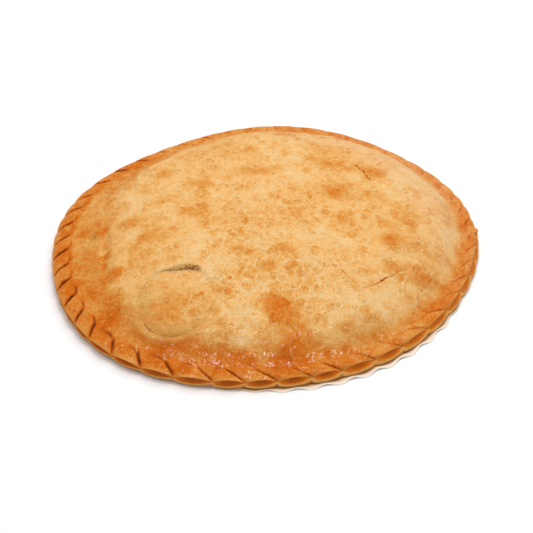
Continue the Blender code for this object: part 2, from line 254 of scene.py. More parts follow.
# Browned blisters and pale places: where each is in the photograph, its half width and
# half depth on the pie in mm, how much browner it is than the crust round it, or paler
# where that is less than 0, and how far it stands up in mm
BROWN_SPOTS = (
    (278, 308, 14, 15, 0.63, 0.9),
    (297, 343, 12, 14, 0.35, 0.9),
    (268, 300, 8, 8, 0.1, 0.3),
    (254, 171, 14, 9, 0.2, 0.4),
    (282, 249, 10, 7, 0.3, 0.5),
    (240, 249, 10, 6, 0.27, 0.5),
    (268, 263, 8, 8, 0.18, 0.4),
    (294, 268, 10, 6, 0.14, 0.4),
    (131, 222, 12, 6, 0.3, 0.5),
    (152, 234, 8, 7, 0.24, 0.6),
    (194, 211, 15, 8, 0.27, 0.5),
    (198, 184, 12, 7, 0.24, 0.3),
    (164, 175, 10, 7, 0.24, 0.3),
    (391, 241, 11, 10, 0.38, 0.9),
    (418, 276, 9, 9, 0.26, 0.7),
    (407, 217, 11, 9, 0.14, 0.7),
    (336, 190, 20, 14, 0.2, 0.4),
    (330, 165, 13, 8, 0.26, 0.3),
    (372, 172, 10, 11, 0.35, 0.9),
    (342, 219, 9, 8, 0.1, 0.4),
    (361, 214, 8, 6, 0.06, 0.3),
    (391, 268, 10, 7, 0.32, 0.4),
    (351, 328, 10, 9, 0.13, 0.5),
    (296, 213, 7, 5, 0.14, 0.3),
    (284, 134, 10, 6, 0.33, 0.3),
    (441, 287, 9, 9, 0.23, 0.6),
    (434, 308, 10, 7, 0.22, 0.5),
    (98, 235, 6, 6, 0.14, 3.2),
    (98, 237, 4, 4, 0.2, 0.0),
    # These four darken the fold line on the left as painted shade in its groove
    (105, 232, 2.5, 7, 0.14, 0.0),
    (105.5, 246, 2.5, 6, 0.24, 0.0),
    (107, 257, 3.5, 5, 0.45, 0.0),
    (104.5, 268, 2.5, 6, 0.28, 0.0),
    (112, 276, 8, 9, 0.36, 0.3),
    (170, 306, 14, 15, 0.22, 0.0),
    (146, 300, 8, 20, 0.12, 0.0),
    (128, 262, 18, 30, 0.06, 0.0),
    (194, 310.5, 6.4, 6.4, -0.16, 0.3),
    (194, 311, 4.2, 4.2, 0.36, 0.0),
    (174, 350, 20, 9, 0.55, 0.6),
    (156, 350, 9, 6, 0.32, 0.3),
    (198, 358, 9, 6, 0.28, 0.3),
    (178, 340, 7, 3, -0.16, 0.0),
    (225, 345, 22, 13, -0.34, 0.0),
    (223, 362, 9, 6, 0.14, 0.3),
    (392, 205, 8, 5, 0.06, 0.2),
    (412, 190, 9, 5, 0.14, 0.2),
    (212, 232, 7, 5, 0.1, 0.2),
    (226, 286, 7, 5, 0.14, 0.3),
    (252, 302, 6, 5, 0.16, 0.3),
    (240, 362, 12, 7, 0.2, 0.5),
    (345, 366, 12, 5, 0.16, 0.3),
    (88, 294, 13, 16, 0.18, 0.3),
    (90, 262, 8, 10, 0.1, 0.3),
    (104, 320, 9, 8, 0.2, 0.3),
    (447, 232, 6, 20, -0.06, 0.0),
    (433, 205, 9, 12, -0.03, 0.0),
    (452, 262, 6, 10, -0.06, 0.0),
    (203, 282, 12, 9, -0.07, 0.0),
    (201.5, 293.3, 1.9, 1.9, 0.85, 0.3),
    (229, 278, 1.8, 1.8, 0.4, 0.2),
    (242, 268, 1.5, 1.5, 0.35, 0.1),
    (254, 270, 1.6, 1.6, 0.35, 0.1),
    (290, 208, 1.5, 1.5, 0.35, 0.1),
    (88, 315, 1.3, 1.3, 0.9, 0.0),
    (96, 334, 1.3, 1.3, 0.9, 0.0),
    (244, 179, 1.2, 1.2, 0.4, 0.0),
    (217, 202, 1.2, 1.2, 0.4, 0.0),
)
SPOT_RAGGED = 0.16  # how far a spot's edge wanders, as a share of its size
SPOT_WANDER = ((0.7, 7.0 * MM, 41), (0.7, 3.0 * MM, 42))  # share, size and seed of that
SPOT_END = 1.35  # where its browning ends, as a share of its size
SPOT_DOME = (1.2, 1.5)  # where its height ends, in the same way, and the slope's power
SPOT_PLAIN = 0.2  # share of the patterns that a full spot takes away
SPOT_FULL = 0.4  # the browning of a full spot
SPOT_SOFTNESS = 1.25  # width of a spot's edge, as a share of its size

# Where rings of small blisters gathered, in the photograph, and each patch's size in mm
RING_PATCHES = (
    (240, 300, 35),
    (300, 290, 30),
    (345, 310, 25),
    (250, 250, 25),
)
RING_END = 1.6  # where a patch ends, as a share of its size
VENT_CALM = (0.8, 3.0 * MM)  # share fewer on the vent's disc, and over which they fade
RING_SHARE = 0.25  # of the blisters that show elsewhere
RING_EDGE = (25.0 * MM, 15.0 * MM)  # reach where they start, and over which they fade in

# Two thin cuts in the crust: points in the photograph, and how dark each is there
CUTS = (
    (
        (343, 271, 1.0), (345.5, 273.5, 0.5), (351, 279, 0.15), (360, 286, 0.2), (365, 287, 0.7),
        (370.5, 285.6, 0.3), (380, 281.6, 0.9), (384, 278.6, 1.0), (394, 274.5, 0.7),
    ),
    ((352.4, 163, 0.2), (356.5, 165.4, 0.6), (361.6, 170, 0.5), (370.3, 179.7, 0.85)),
)
CUT_FAR = 1.0  # metres, further off than any place on the pie
CUT_DEPTH = 0.5 * MM
CUT_SOFTNESS = 1.0 * MM

# Browning, with painted shade and light in places, from 0, pale, to 1, dark brown
TOP_BROWN = 0.335
SHELF_BROWN = 0.23  # more on the rim and the shelf
SHELF_FADE = 12.0 * MM
SHELF_WANDER = (9.0 * MM, 24.0 * MM, 33)  # how far its border wanders, size, seed
SHELF_BORDER = (  # border further in, fade wider, share it wanders less, direction, spread
    (7.0 * MM, 6.0 * MM, 0.3, 186.0, 22.0),
    (-5.0 * MM, -5.0 * MM, 0.7, 15.0, 36.0),
    (0.0, 12.0 * MM, 0.0, 120.0, 34.0),
)
RIM_BROWN = (  # more on the folds, direction and spread in degrees
    (0.25, 204.0, 46.0),
    (0.12, 95.0, 35.0),
    (0.17, 5.0, 28.0),
)
RIM_BROWN_FADE = 4.0 * MM
FRONT_BROWN_AND_SHADE = (0.35, 259.0, 33.0)  # more on the front slope, partly browning and partly painted shade of a slope turned from the light, direction and spread
FRONT_PATCHES = (1.3, 13.0 * MM, 34)  # how uneven that is, as a share, size, seed
FRONT_DEPTH = 46.0 * MM  # from the lip up to where that browning starts
FRONT_FADE = 24.0 * MM
FRONT_SHALLOWER = (15.0 * MM, 306.0, 24.0)  # less deep there, direction and spread
BROWN_NOISE = ((0.08, 26.0 * MM, 31), (0.07, 10.0 * MM, 32))  # size, wavelength, seed
VENT_BROWN, VENT_BROWN_FADE = 0.06, 2.0 * MM
VENT_LIP_BROWN_AND_LIGHT = 0.4  # what the browning comes to on the crust's lip in front of the vent: paler, partly as painted light on the lip's crest
VENT_LIP_BAND = (2.4 * MM, 2.8 * MM, 255.0, 48.0)  # out, width, direction, spread of that
VENT_LIP_PLAIN = 0.7  # share of the patterns that this lip takes away
PATTERN_LEFT, PATTERN_BROWNEST = 0.9, 0.6  # of the patterns, on crust browned this much
PATTERN_SIDE = 0.3  # of the patterns on the rim's outer side
BROWN_LIMIT = 0.84  # which the browning of the top nears but doesn't reach
LIMIT_SHARPNESS = 4  # power by which it bends over to that
LIP_BROWN = 0.5
LOWER_LIP_BROWN = 0.42
BOTTOM_ROWS = (  # of the rim's outer side: out, above the bottom, browning
    (-2.6 * MM, 0.5 * MM, BASE_BROWN),
    (-1.1 * MM, 0.0, LIP_BROWN),
)
# Painted shade in the groove, more where it gapes
GROOVE_SHADE = 0.25
# The facets are browner, and darker towards the upper lip as painted shadow under it
FACET_BROWN_AND_SHADOW = 0.98
FACET_FOOT = 0.75  # of that browning at the foot of a facet, growing to all of it at the top as painted shadow under the upper lip
FACET_PALER = (0.2, 20.0, 60.0)  # less, direction and spread
FACET_SPREAD = 0.4  # power of the arch by which that browning nears the joints
FACET_BORDER = (0.4, 0.8)  # share less at a facet's border, and where that starts
# Browner along the creases and the folds' inner ends, which also paints the shade in them
CREASE_BROWN_AND_SHADE = 0.26
CREASE_PAINT = 0.95 * MM
CREASE_LEAN = 0.7  # of the way along the rim that is the way across a slanting crease
CREASE_FADE = 3.0 * MM
CREASE_PALER = (0.25, 20.0, 40.0)  # less, direction and spread in degrees
SHUT_SIDE = (40.0, 42.0)  # where the creases don't reach the lip, direction and spread
SHUT_REACH = 3.0 * MM
HOOK_SHARE = 0.1  # how dark the line at a fold's inner end is next to its crease
HOOK_SIDE = (215.0, 32.0)  # full there, direction and spread
HOOK_PLACES = (0.45, 0.35)  # across a fold, where the line starts, and over which it fades in
DROP_SHADE = 0.12  # painted shade where a fold drops to the next crease, on the face turned from the light
DROP_REACH = (11.0 * MM, 4.0 * MM)  # reach where that ends, and over which it fades
FOLD_BROWN = 0.04  # how far one fold differs from the next

# Egg wash, from 0 to 1
TOP_WASH = 0.02
RIM_WASH = (0.55, 0.35, 228.0, 60.0)  # most, share of it elsewhere, direction, spread
RIM_WASH_REACH = 26.0 * MM
SIDE_WASH = 0.15
SLOPE_WASHES = (  # share, direction and spread in degrees, reach where it ends
    (0.9, 258.0, 48.0, 39.0 * MM),
    (0.6, 334.0, 26.0, 64.0 * MM),
)
WASH_FADE = 16.0 * MM

# A pale bloom on the crust, taken for dry flour
BLOOM = (0.2, 44.0, 34.0)  # share that it covers, direction and spread in degrees
BLOOM_REACH, BLOOM_FADE = 60.0 * MM, 30.0 * MM  # where it ends, and over which it fades
BLOOM_ON_FOLDS = (0.5, 9.0 * MM, 6.0 * MM)  # share that the folds keep, their reach, fade
BLOOM_STREAKS = (0.6, 9.0 * MM, 71)  # how uneven it is, as a share, size, seed

# Details of the rim and the vent
FOLD_SEED = 12
LIP_THICKNESS = 1.0 * MM
LIP_THICKENING = (1.2 * MM, -56.0, 22.0)  # direction and spread in degrees
FACET_ROWS = 7
FRONT_RELIEF = (1.3, 258.0, 50.0)  # more blistered on the front slope, direction and spread
RIM_SOFTNESS = 0.55  # of the dough's relief that is left where it was pressed
SOFT_FADE = 8.0 * MM
CRUMB_RELIEF = 0.35 * MM
CRUMB_SIZE = 1.6 * MM
CRUMB_SEED = 51
CRUMB_HEIGHT = 2.6 * MM  # of the crumbly wall behind
CRUMB_PEAK = (4.0 * MM, 70.0, 16.0)  # higher there, direction and spread
CRUMB_SOFTNESS = 0.8  # share of the wall's height over which it ends
CRUMB_START = (0.4 * MM, 0.6 * MM)  # in from the edge, and over which the wall starts
CRUMB_WALL = ((53.0, 7.0), (178.0, 85.0))  # direction where it starts and ends, and fades
WALL_SHADE_DARKEST = (0.42, 72.0, 15.0)  # share of the wall, with its painted shade, elsewhere, direction and spread
WALL_FOOT_SHADOW = (1.1 * MM, 0.5 * MM)  # the dark line of painted shadow at its foot: height, and over which it ends
CRUMB_AND_SHADE_SLOPES = (  # crumbs and painted shade on the slopes, with the olive band behind the front lip and the thin dark lines under its edge as painted shade: share, in from the edge, width, direction and spread in degrees
    (0.65, 4.0 * MM, 6.0 * MM, 186.0, 38.0),
    (0.75, 3.5 * MM, 5.0 * MM, 258.0, 40.0),
    (1.2, 0.2 * MM, 0.9 * MM, 262.0, 52.0),
    (0.9, 0.2 * MM, 0.9 * MM, 158.0, 20.0),
    (1.2, 1.0 * MM, 1.8 * MM, 226.0, 9.0),
)
TIP = (479, 230)  # a torn tip of dough on the lip, in the photograph
TIP_LENGTH = 2.6 * MM
TIP_WIDTH = 0.7  # degrees
TORN_EDGE = (0.6 * MM, 1.5 * MM, 0.0, 8.0)  # ragged edge: depth, size, direction, spread
TORN_SEED = 61

# The browning as colours under this light
CRUST_COLOURS = (
    (0.0, "#E6C68F"),
    (0.15, "#E5BB7F"),
    (0.3, "#E3AD67"),
    (0.45, "#D8984C"),
    (0.6, "#D38233"),
    (0.75, "#CB6610"),
    (0.87, "#A04A12"),
    (1.0, "#6E3010"),
)
CRUST_PAINT = (  # what the mesh tells the crust's material at each point
    "bake", "gloss", "crumb_and_shade", "bloom", "pattern", "rings", "cut", "cut_gap", "cut_dark",
)
BLOOM_COLOUR = "#DABAA2"
# Colours of the bared crumbs, darker where they are thick as painted shade
CRUMB_AND_SHADE_COLOURS = ((0.0, "#DDB470"), (0.5, "#BE954C"), (0.8, "#9E6838"), (1.0, "#784424"))
PAPER_COLOURS = ((0.0, "#F9F5EF"), (0.4, "#F5E4D0"), (0.8, "#DDB88C"), (1.0, "#C99A68"))
GREASE_AND_SHADE_START = 3.0 * MM  # in from the crust's edge, where the fat and the crust's painted shadow on the paper fade
GREASE_AND_SHADE_FADE = 8.0 * MM
VALLEY_SHADE = 0.15  # more in the flutes' valleys: painted shade
FIBRE_SIZE, FIBRE_TAN, FIBRE_RISE = 1.5 * MM, 0.15, 0.08 * MM

# The patterns of the crust: their sizes, how much each browns it and how far it rises
ROLLED = 0.8  # the marks' size across the camera's view, as a share of that along it
NOISE_ROUGHNESS = 0.55
BEND_SIZE = 4.0 * MM  # of the noise that bends the patterns below
WARPS = (7.0 * MM, 3.5 * MM, 2.2 * MM)  # how far it bends the veins, cells and blisters
MOTTLE_SIZE, MOTTLE_BROWN = 9.0 * MM, 0.29
PATCH_RANGE = (0.42, 0.75)  # of the mottling, over which a patch browns
PATCH_BROWN = 0.13
FINE_SIZE, FINE_BROWN, FINE_RISE = 2.2 * MM, 0.44, 0.3 * MM
GRAIN_SIZE, GRAIN_BROWN, GRAIN_RISE = 1.0 * MM, 0.34, 0.15 * MM
VEIN_SIZE, VEIN_BROWN, VEIN_RISE = 11.0 * MM, -0.17, 0.12 * MM
VEIN_FADE = (0.01, 0.07)  # of a vein's cell, from its border, over which it ends
VEIN_KEPT = (0.38, 0.55)  # of the mottling, over which the veins come in
NOISE_MIDDLE, PATCH_MIDDLE, CELL_RIM_MIDDLE = 0.5, 0.35, 0.25  # each is centred on this
BLISTERS_SHOWN = (  # spacing, share shown at most, rim's browning, middle's, dome's height
    (9.5 * MM, 0.7, -0.13, 0.08, 0.45 * MM),
    (5.0 * MM, 0.6, -0.13, 0.05, 0.3 * MM),
)
BLISTER_SIZES = (0.2, 0.46)  # radius of the smallest and the largest, of the spacing
BLISTER_RIM, BLISTER_SLOPE = 0.09, 0.14  # width of the rim and the dome's edge, likewise
CELL_SIZE, CELL_BROWN, CELL_RIM_BROWN, CELL_RIM_RISE = 4.4 * MM, 0.09, -0.07, -0.16 * MM
CELL_RIM_FADE = (0.02, 0.16)  # of a cell, from its border, over which the crease ends
CELL_RIM_LEAST = 0.4  # of the creases, where no rings show
CUT_BROWN, CUT_RISE = 0.55, -0.3 * MM
CUT_WIDTH = 1.4 * MM  # times the fine pattern, half the dark line's width
CUT_EDGE = 0.5 * MM  # over which the line fades
CUT_END = 1.2 * MM  # from the cut, past which there is no line
DARKEST_PATTERN = 0.74  # browning that the patterns near but do not pass
DARKEST_SOFTNESS = 0.15  # over which they bend towards it
CRUMB_SPECKLE = (1.2, -0.72)  # how far the grain darkens the crumbs, and what is added
CRUMB_WALL_SHADE = 0.9  # how far they darken where they are thick: painted shade on the vent's wall and under its front lip
CRUMB_COVER = 1.8  # times the grain and how many there are, how far they cover the crust
WRINKLE_SIZE, WRINKLE_RISE = 5.2 * MM, 2.3 * MM  # of the dried wash
WASH_RANGE = (0.42, 0.55)  # of the mottling, over which the wash thickens
WASH_LEAST = 0.3  # of the wash, where it is thin
DULL_ROUGHNESS, WASHED_ROUGHNESS = 0.7, 0.5

# The studio
FLOOR_COLOUR = "#F5F5F5"
FLOOR_SIZE = 12.0
SURROUND_COLOUR = "#FFFFFF"
SURROUND_STRENGTH = 0.56
LAMPS = (  # name, place, size, watts, whether glossy surfaces mirror it
    ("key", (0.3, 0.58, 1.43), 1.3, 9.6, False),
    ("high sheen", (0.12, 0.1, 1.4), 0.4, 4.8, True),
    ("front sheen", (-0.36, -0.22, 1.3), 0.35, 1.8, True),
)


def hump(angle, centre, spread):
    """1 in one direction, falling as a bell curve round the circle. The direction and
    the spread are in degrees."""
    gap = (angle - math.radians(centre) + math.pi) % math.tau - math.pi
    return np.exp(-0.5 * (gap / math.radians(spread)) ** 2)


def lobe(angle, row):
    """An amount that is full in one direction and falls as a bell curve round the
    circle. The row holds the amount, the direction and the spread."""
    amount, side, spread = row
    return amount * hump(angle, side, spread)


def lobes(angle, rows):
    """A few such amounts, added up."""
    return sum(lobe(angle, row) for row in rows)


def bell(distance, width):
    """1 on a line, falling as a bell curve of the distance from it."""
    return np.exp(-((distance / width) ** 2))


def smooth(x):
    """0 below 0, 1 above 1, and an S curve between."""
    x = np.clip(x, 0.0, 1.0)
    return x * x * (3.0 - 2.0 * x)


def at_least(share, x):
    """This share where x is 0, climbing evenly to 1 where x is 1."""
    return share + (1.0 - share) * x


def between(low, high, share):
    """The low value at share 0, going evenly to the high one at share 1."""
    return low * (1.0 - share) + high * share


def turned(angle, radius):
    """Points at these directions and distances from the middle, as x, y."""
    return radius * np.cos(angle), radius * np.sin(angle)


def outline(angle):
    """Radius of the rim's lip: a circle with a few low waves round it."""
    waves = sum(
        height * np.cos(count * (angle - math.radians(crest)))
        for count, height, crest in OUTLINE_WAVES
    )
    return PIE_RADIUS + waves


def crease_angles():
    """Where each crease meets the lip, going round. The last is the first, a turn on.

    The folds are counted round the rim as an even count plus slow waves, and a crease
    is wherever the count is whole, give or take a little.
    """
    fine = np.linspace(-COUNT_MARGIN, math.tau + COUNT_MARGIN, COUNT_STEPS)
    count = CRIMPS * fine / math.tau - CRIMP_OFFSET
    for waves, crimps, crest in CROWDING_WAVES:
        count += crimps * np.cos(waves * (fine - math.radians(crest)))
    rng = np.random.default_rng(CRIMP_SEED)
    wander = rng.uniform(-CRIMP_JITTER, CRIMP_JITTER, CRIMPS)
    angles = np.interp(np.arange(CRIMPS) + wander, count, fine)
    return np.append(angles, angles[0] + math.tau)


def around(angle, values):
    """A value given for a few directions in degrees, even between one and the next."""
    directions, amounts = zip(*values)
    return np.interp(np.degrees(angle), directions, amounts, period=360.0)


def slanted(angle, reach):
    """The columns' angles this far in from the lip: they follow the creases, which
    slant back along the rim as far as the folds go."""
    inward = min(reach, CRIMP_REACH)
    return angle - around(angle, SLANTS) * inward / PIE_RADIUS


def off_vent(x, y):
    """Distance out from the vent's edge, which is less than 0 on its disc, and the
    direction from its centre. The disc is a circle, a little wider in a few directions."""
    across, along = x - VENT_CENTRE[0], y - VENT_CENTRE[1]
    angle = np.arctan2(along, across)
    return np.hypot(across, along) - VENT_RADIUS - lobes(angle, VENT_WIDENING), angle


def vent_lip(x, y, ridge):
    """1 on a ridge in front of the vent, falling as a bell curve across it and as one
    round the vent."""
    out, width, side, spread = ridge
    off, angle = off_vent(x, y)
    return bell(off - out, width) * hump(angle, side, spread)


def vent_sink(x, y):
    """How far the vent's disc lies below the crust: most at its back and front edges.
    The crust's own lip stands up a little in front of it."""
    off, angle = off_vent(x, y)
    share = np.clip(1.0 + off / VENT_RADIUS, 0.0, 1.0)
    depth = VENT_SINK + lobes(angle, VENT_EDGE_SINK) * share**VENT_DISH
    free = 1.0 - hump(angle, *VENT_HINGE) * smooth(share)
    inside, outside = VENT_EDGE, 0.0
    for inner, outer, side, spread in VENT_SOFT_EDGE:
        inside = inside + inner * hump(angle, side, spread)
        outside = outside + outer * hump(angle, side, spread)
    sunk = depth * free * smooth((outside - off) / (inside + outside))
    return sunk - VENT_LIP_RISE * vent_lip(x, y, VENT_LIP)


def dome_foot(angle):
    """How far in from the lip the shelf ends and the dome starts."""
    return SHELF_WIDTH + lobes(angle, SHELF_WIDENING)


def crust_height(angle, reach):
    """Height of the crust, without its folds, this far in from the lip.

    A pressed rim, a shelf that climbs gently, then the dome: a steep shoulder that dies
    away as an exponential, and a crown that flattens as a parabola, with low lumps.
    """
    foot = dome_foot(angle)
    inward = reach - foot
    softness = FOOT_SOFTNESS + lobe(angle, FOOT_SOFTENING)
    climb = (inward + np.sqrt(inward**2 + softness**2)) / 2.0
    dome_radius = outline(angle) - foot
    crown = 1.0 - (1.0 - np.clip(climb / dome_radius, 0.0, 1.0)) ** 2
    height = CREASE_LEVEL + CROWN_HEIGHT * crown
    height += SHELF_RISE * smooth((reach - SHELF_START) / foot)
    shoulder = SHOULDER_LENGTH + lobe(angle, SHOULDER_LENGTHENING)
    height += SHOULDER_HEIGHT * (1.0 - np.exp(-climb / shoulder))
    groove = np.exp(-0.5 * ((inward - FOLD_LINE_PLACE) / FOLD_LINE_WIDTH) ** 2)
    height -= FOLD_LINE_DEPTH * groove * hump(angle, *FOLD_LINE_SIDE)

    x, y = turned(angle, outline(angle) - reach)
    bearing = smooth(climb / LUMPS_FULL)
    for size, wavelength, side in LUMPS:
        along = x * math.cos(math.radians(side)) + y * math.sin(math.radians(side))
        height += size * bearing * np.sin(math.tau * along / wavelength)
    return height - vent_sink(x, y)


def crust_height_at(x, y):
    """The same height, at a place seen from above."""
    angle = np.arctan2(y, x)
    return crust_height(angle, outline(angle) - np.hypot(x, y))


def camera_axes():
    """The camera's place and its directions ahead and up, with X to its right."""
    tilt = math.radians(CAMERA_ELEVATION)
    ahead = np.array([0.0, math.cos(tilt), -math.sin(tilt)])
    up = np.array([0.0, math.sin(tilt), math.cos(tilt)])
    return np.array(CAMERA_TARGET) - CAMERA_DISTANCE * ahead, ahead, up


def on_crust(px, py):
    """The point of the crust that the photograph shows at this pixel, as x, y.

    The line of sight is cut at the crust's height, which is found again a few times.
    """
    eye, ahead, up = camera_axes()
    middle = PHOTO_WIDTH / 2.0
    sight = ahead + (middle - py) / PHOTO_FOCAL * up
    sight[0] += (px - middle) / PHOTO_FOCAL
    level = CREASE_LEVEL + SHOULDER_HEIGHT
    for _ in range(SIGHT_ROUNDS):
        point = eye + sight * (level - eye[2]) / sight[2]
        level = 0.5 * (level + float(crust_height_at(point[0], point[1])))
    return point[0], point[1]


def value_noise(x, y, size, seed):
    """Smooth random relief from -1 to 1: random heights on a turned square lattice of
    this size, with an S curve between neighbours."""
    rng = np.random.default_rng(seed)
    lattice = rng.uniform(-1.0, 1.0, (LATTICE, LATTICE))
    turn = rng.uniform(0.0, math.tau)
    u = (x * math.cos(turn) + y * math.sin(turn)) / size
    v = (y * math.cos(turn) - x * math.sin(turn)) / size
    i, j = np.floor(u).astype(int), np.floor(v).astype(int)
    s, t = smooth(u - i), smooth(v - j)
    i, j = i % LATTICE, j % LATTICE
    k, m = (i + 1) % LATTICE, (j + 1) % LATTICE
    near = lattice[i, j] * (1.0 - s) + lattice[k, j] * s
    far = lattice[i, m] * (1.0 - s) + lattice[k, m] * s
    return near * (1.0 - t) + far * t


def noises(x, y, rows):
    """A few such reliefs, each with its height, size and seed, added up."""
    return sum(height * value_noise(x, y, size, seed) for height, size, seed in rows)


def scattered(x, y, spacing, seed):
    """The nearest of a field of scattered centres, one in each square of the spacing:
    its distance as a share of the spacing, and its own random number from 0 to 1."""
    rng = np.random.default_rng(seed)
    centre = rng.uniform(SCATTER_MARGIN, 1.0 - SCATTER_MARGIN, (LATTICE, LATTICE, 2))
    number = rng.uniform(0.0, 1.0, (LATTICE, LATTICE))
    u, v = x / spacing, y / spacing
    i, j = np.floor(u).astype(int), np.floor(v).astype(int)
    best = np.full(np.shape(x), np.inf)
    own = np.zeros(np.shape(x))
    for across in (-1, 0, 1):
        for along in (-1, 0, 1):
            k, m = (i + across) % LATTICE, (j + along) % LATTICE
            du = i + across + centre[k, m, 0] - u
            dv = j + along + centre[k, m, 1] - v
            distance = np.hypot(du, dv)
            nearer = distance < best
            best = np.where(nearer, distance, best)
            own = np.where(nearer, number[k, m], own)
    return best, own


def spot_strengths(x, y):
    """Browning and height that the named spots add: a soft-edged plateau round each,
    whose edge wanders."""
    wander = SPOT_RAGGED * noises(x, y, SPOT_WANDER)
    end, power = SPOT_DOME
    brown_light_and_shade, rise = np.zeros_like(x), np.zeros_like(x)
    for px, py, wide, deep, strength, height in BROWN_SPOTS:
        cx, cy = on_crust(px, py)
        distance = np.hypot((x - cx) / (wide * MM), (y - cy) / (deep * MM))
        brown_light_and_shade += strength * smooth((SPOT_END - distance - wander) / SPOT_SOFTNESS)
        rise += height * MM * smooth(end - distance) ** power
    return brown_light_and_shade, rise


def dough_relief(x, y):
    """Height of the baked dough's unevenness: swells of a few sizes, and low domes at
    the blisters that rose."""
    height = noises(x, y, SWELLS)
    smallest, added = BLISTER_RADII
    for spacing, rise, share, seed in BLISTERS:
        distance, number = scattered(x, y, spacing, seed)
        radius = smallest + added * number / share
        dome = np.clip(1.0 - (distance / radius) ** 2, 0.0, 1.0) ** BLISTER_FULLNESS
        height += rise * dome * (number < share)
    return height


def crowd_to_vent(x, y):
    """Draws the grid's points together at the vent's edge, where the step is."""
    off, angle = off_vent(x, y)
    move = -off * VENT_CROWDING * bell(off, VENT_CROWDING_BAND)
    return x + move * np.cos(angle), y + move * np.sin(angle)


def rim_columns():
    """(angle at the lip, place across the fold, fold) of the columns round the rim.

    The columns crowd towards the creases by a sine.
    """
    creases = crease_angles()
    even = np.arange(CRIMP_COLUMNS) / CRIMP_COLUMNS
    place = even - CREASE_CROWDING * np.sin(math.tau * even)
    angle = (creases[:-1, None] + np.diff(creases)[:, None] * place).ravel()
    return angle, np.tile(place, CRIMPS), np.repeat(np.arange(CRIMPS), CRIMP_COLUMNS)


def fold_strength(angle):
    """The folds' height as a share of the full one: they were pressed flatter behind."""
    return 1.0 - lobe(angle, CRIMP_FLATTENING)


def pinched(angle, arch):
    """The arch of a lip between two joints, flatter where the fingers pinched less."""
    return 1.0 - (LIP_PINCH + lobe(angle, PINCH_RISE)) * (1.0 - arch)


def upper_lip(angle, place):
    """Height of the rim's upper edge, which arches over each fold."""
    arch = pinched(angle, np.sin(math.pi * place) ** LIP_ARCH)
    return JOINT_LEVEL + UPPER_LIP_RISE * fold_strength(angle) * arch


def fold_end(angle, place, own_end):
    """How far in each fold reaches: its end is rounded next to the crease."""
    corner = smooth((place - CORNER_START) / (1.0 - CORNER_START))
    return around(angle, FOLD_ENDS) * MM - own_end - CRIMP_CORNER * corner


def fold_relief(angle, place, reach, own_end):
    """Height of a fold over the pressed rim: it climbs to its crest and drops to the
    next crease, mixed with a cushion, and steps down at its inner end."""
    climb = np.minimum(place / CRIMP_CREST, 1.0) ** CRIMP_CLIMB
    drop = 1.0 - smooth((place - CRIMP_CREST) / (1.0 - CRIMP_CREST))
    share = CRIMP_CUSHION + lobe(angle, CUSHION_RISE)
    cushion = 1.0 - abs(2.0 * place - 1.0) ** CUSHION_POWER
    width = around(angle, STEP_WIDTHS) * MM
    step = 1.0 - smooth((reach - fold_end(angle, place, own_end) + width) / width)
    return CRIMP_RELIEF * (climb * drop * (1.0 - share) + cushion * share) * step


def crease_line(angle, place, reach, own_end):
    """1 on the crease between two folds and at the folds' inner ends, 0 off them: a
    bell curve of the distance across the line. Behind, the lip was pressed shut."""
    width = math.tau * PIE_RADIUS / CRIMPS
    across = np.minimum(place, 1.0 - place) * width * CREASE_LEAN
    step = around(angle, STEP_WIDTHS) * MM
    end = fold_end(angle, place, own_end) - 0.5 * step
    along = smooth((end + 0.5 * step - reach) / CREASE_FADE)
    closed = hump(angle, *SHUT_SIDE) * (1.0 - smooth((reach - SHUT_REACH) / CREASE_FADE))
    crease = bell(across, CREASE_PAINT) * along * (1.0 - closed)
    start, fade = HOOK_PLACES
    hook = bell(reach - end, CREASE_PAINT) * smooth((place - start) / fade)
    return np.maximum(crease, hook * at_least(HOOK_SHARE, hump(angle, *HOOK_SIDE)))


def browning_light_and_shade(x, y, angle, reach):
    """How browned the crust is: more on the rim, the shelf and the front slope, a little in the
    vent, and uneven everywhere. On the front slope part of it is painted shade of a slope turned
    from the light, and the crust's lip in front of the vent is paler, partly as painted light."""
    foot, fade = dome_foot(angle), SHELF_FADE
    wander = noises(x, y, (SHELF_WANDER,))
    for further, wider, calmer, side, spread in SHELF_BORDER:
        there = hump(angle, side, spread)
        foot = foot + further * there
        fade = fade + wider * there
        wander = wander * (1.0 - calmer * there)
    brown_light_and_shade = TOP_BROWN + SHELF_BROWN * smooth((foot - reach + wander) / fade + 0.5)
    brown_light_and_shade += lobes(angle, RIM_BROWN) * smooth((CRIMP_REACH - reach) / RIM_BROWN_FADE)
    # The front slope is browner, partly as painted shade of a slope turned from the light
    depth = FRONT_DEPTH - lobe(angle, FRONT_SHALLOWER)
    share, side, spread = FRONT_BROWN_AND_SHADE
    uneven, size, seed = FRONT_PATCHES
    share = share * (1.0 + uneven * value_noise(x, y, size, seed))
    brown_light_and_shade += share * hump(angle, side, spread) * smooth((depth - reach) / FRONT_FADE)
    for size, wavelength, seed in BROWN_NOISE:
        brown_light_and_shade += size * value_noise(x, y, wavelength, seed)
    off, _ = off_vent(x, y)
    brown_light_and_shade += VENT_BROWN * smooth(-off / VENT_BROWN_FADE)
    # The crust's lip in front of the vent is paler, partly as painted light on its crest
    return brown_light_and_shade + (VENT_LIP_BROWN_AND_LIGHT - brown_light_and_shade) * vent_lip(x, y, VENT_LIP_BAND)


def wash(angle, reach):
    """How much egg wash there is: it ran down to the rim, the front slope and, thinly,
    the front right."""
    most, elsewhere, side, spread = RIM_WASH
    rim = most * at_least(elsewhere, hump(angle, side, spread))
    washed = np.maximum(rim * smooth((RIM_WASH_REACH - reach) / WASH_FADE), TOP_WASH)
    for share, side, spread, end in SLOPE_WASHES:
        slope = share * hump(angle, side, spread) * smooth((end - reach) / WASH_FADE)
        washed = np.maximum(washed, slope)
    return washed


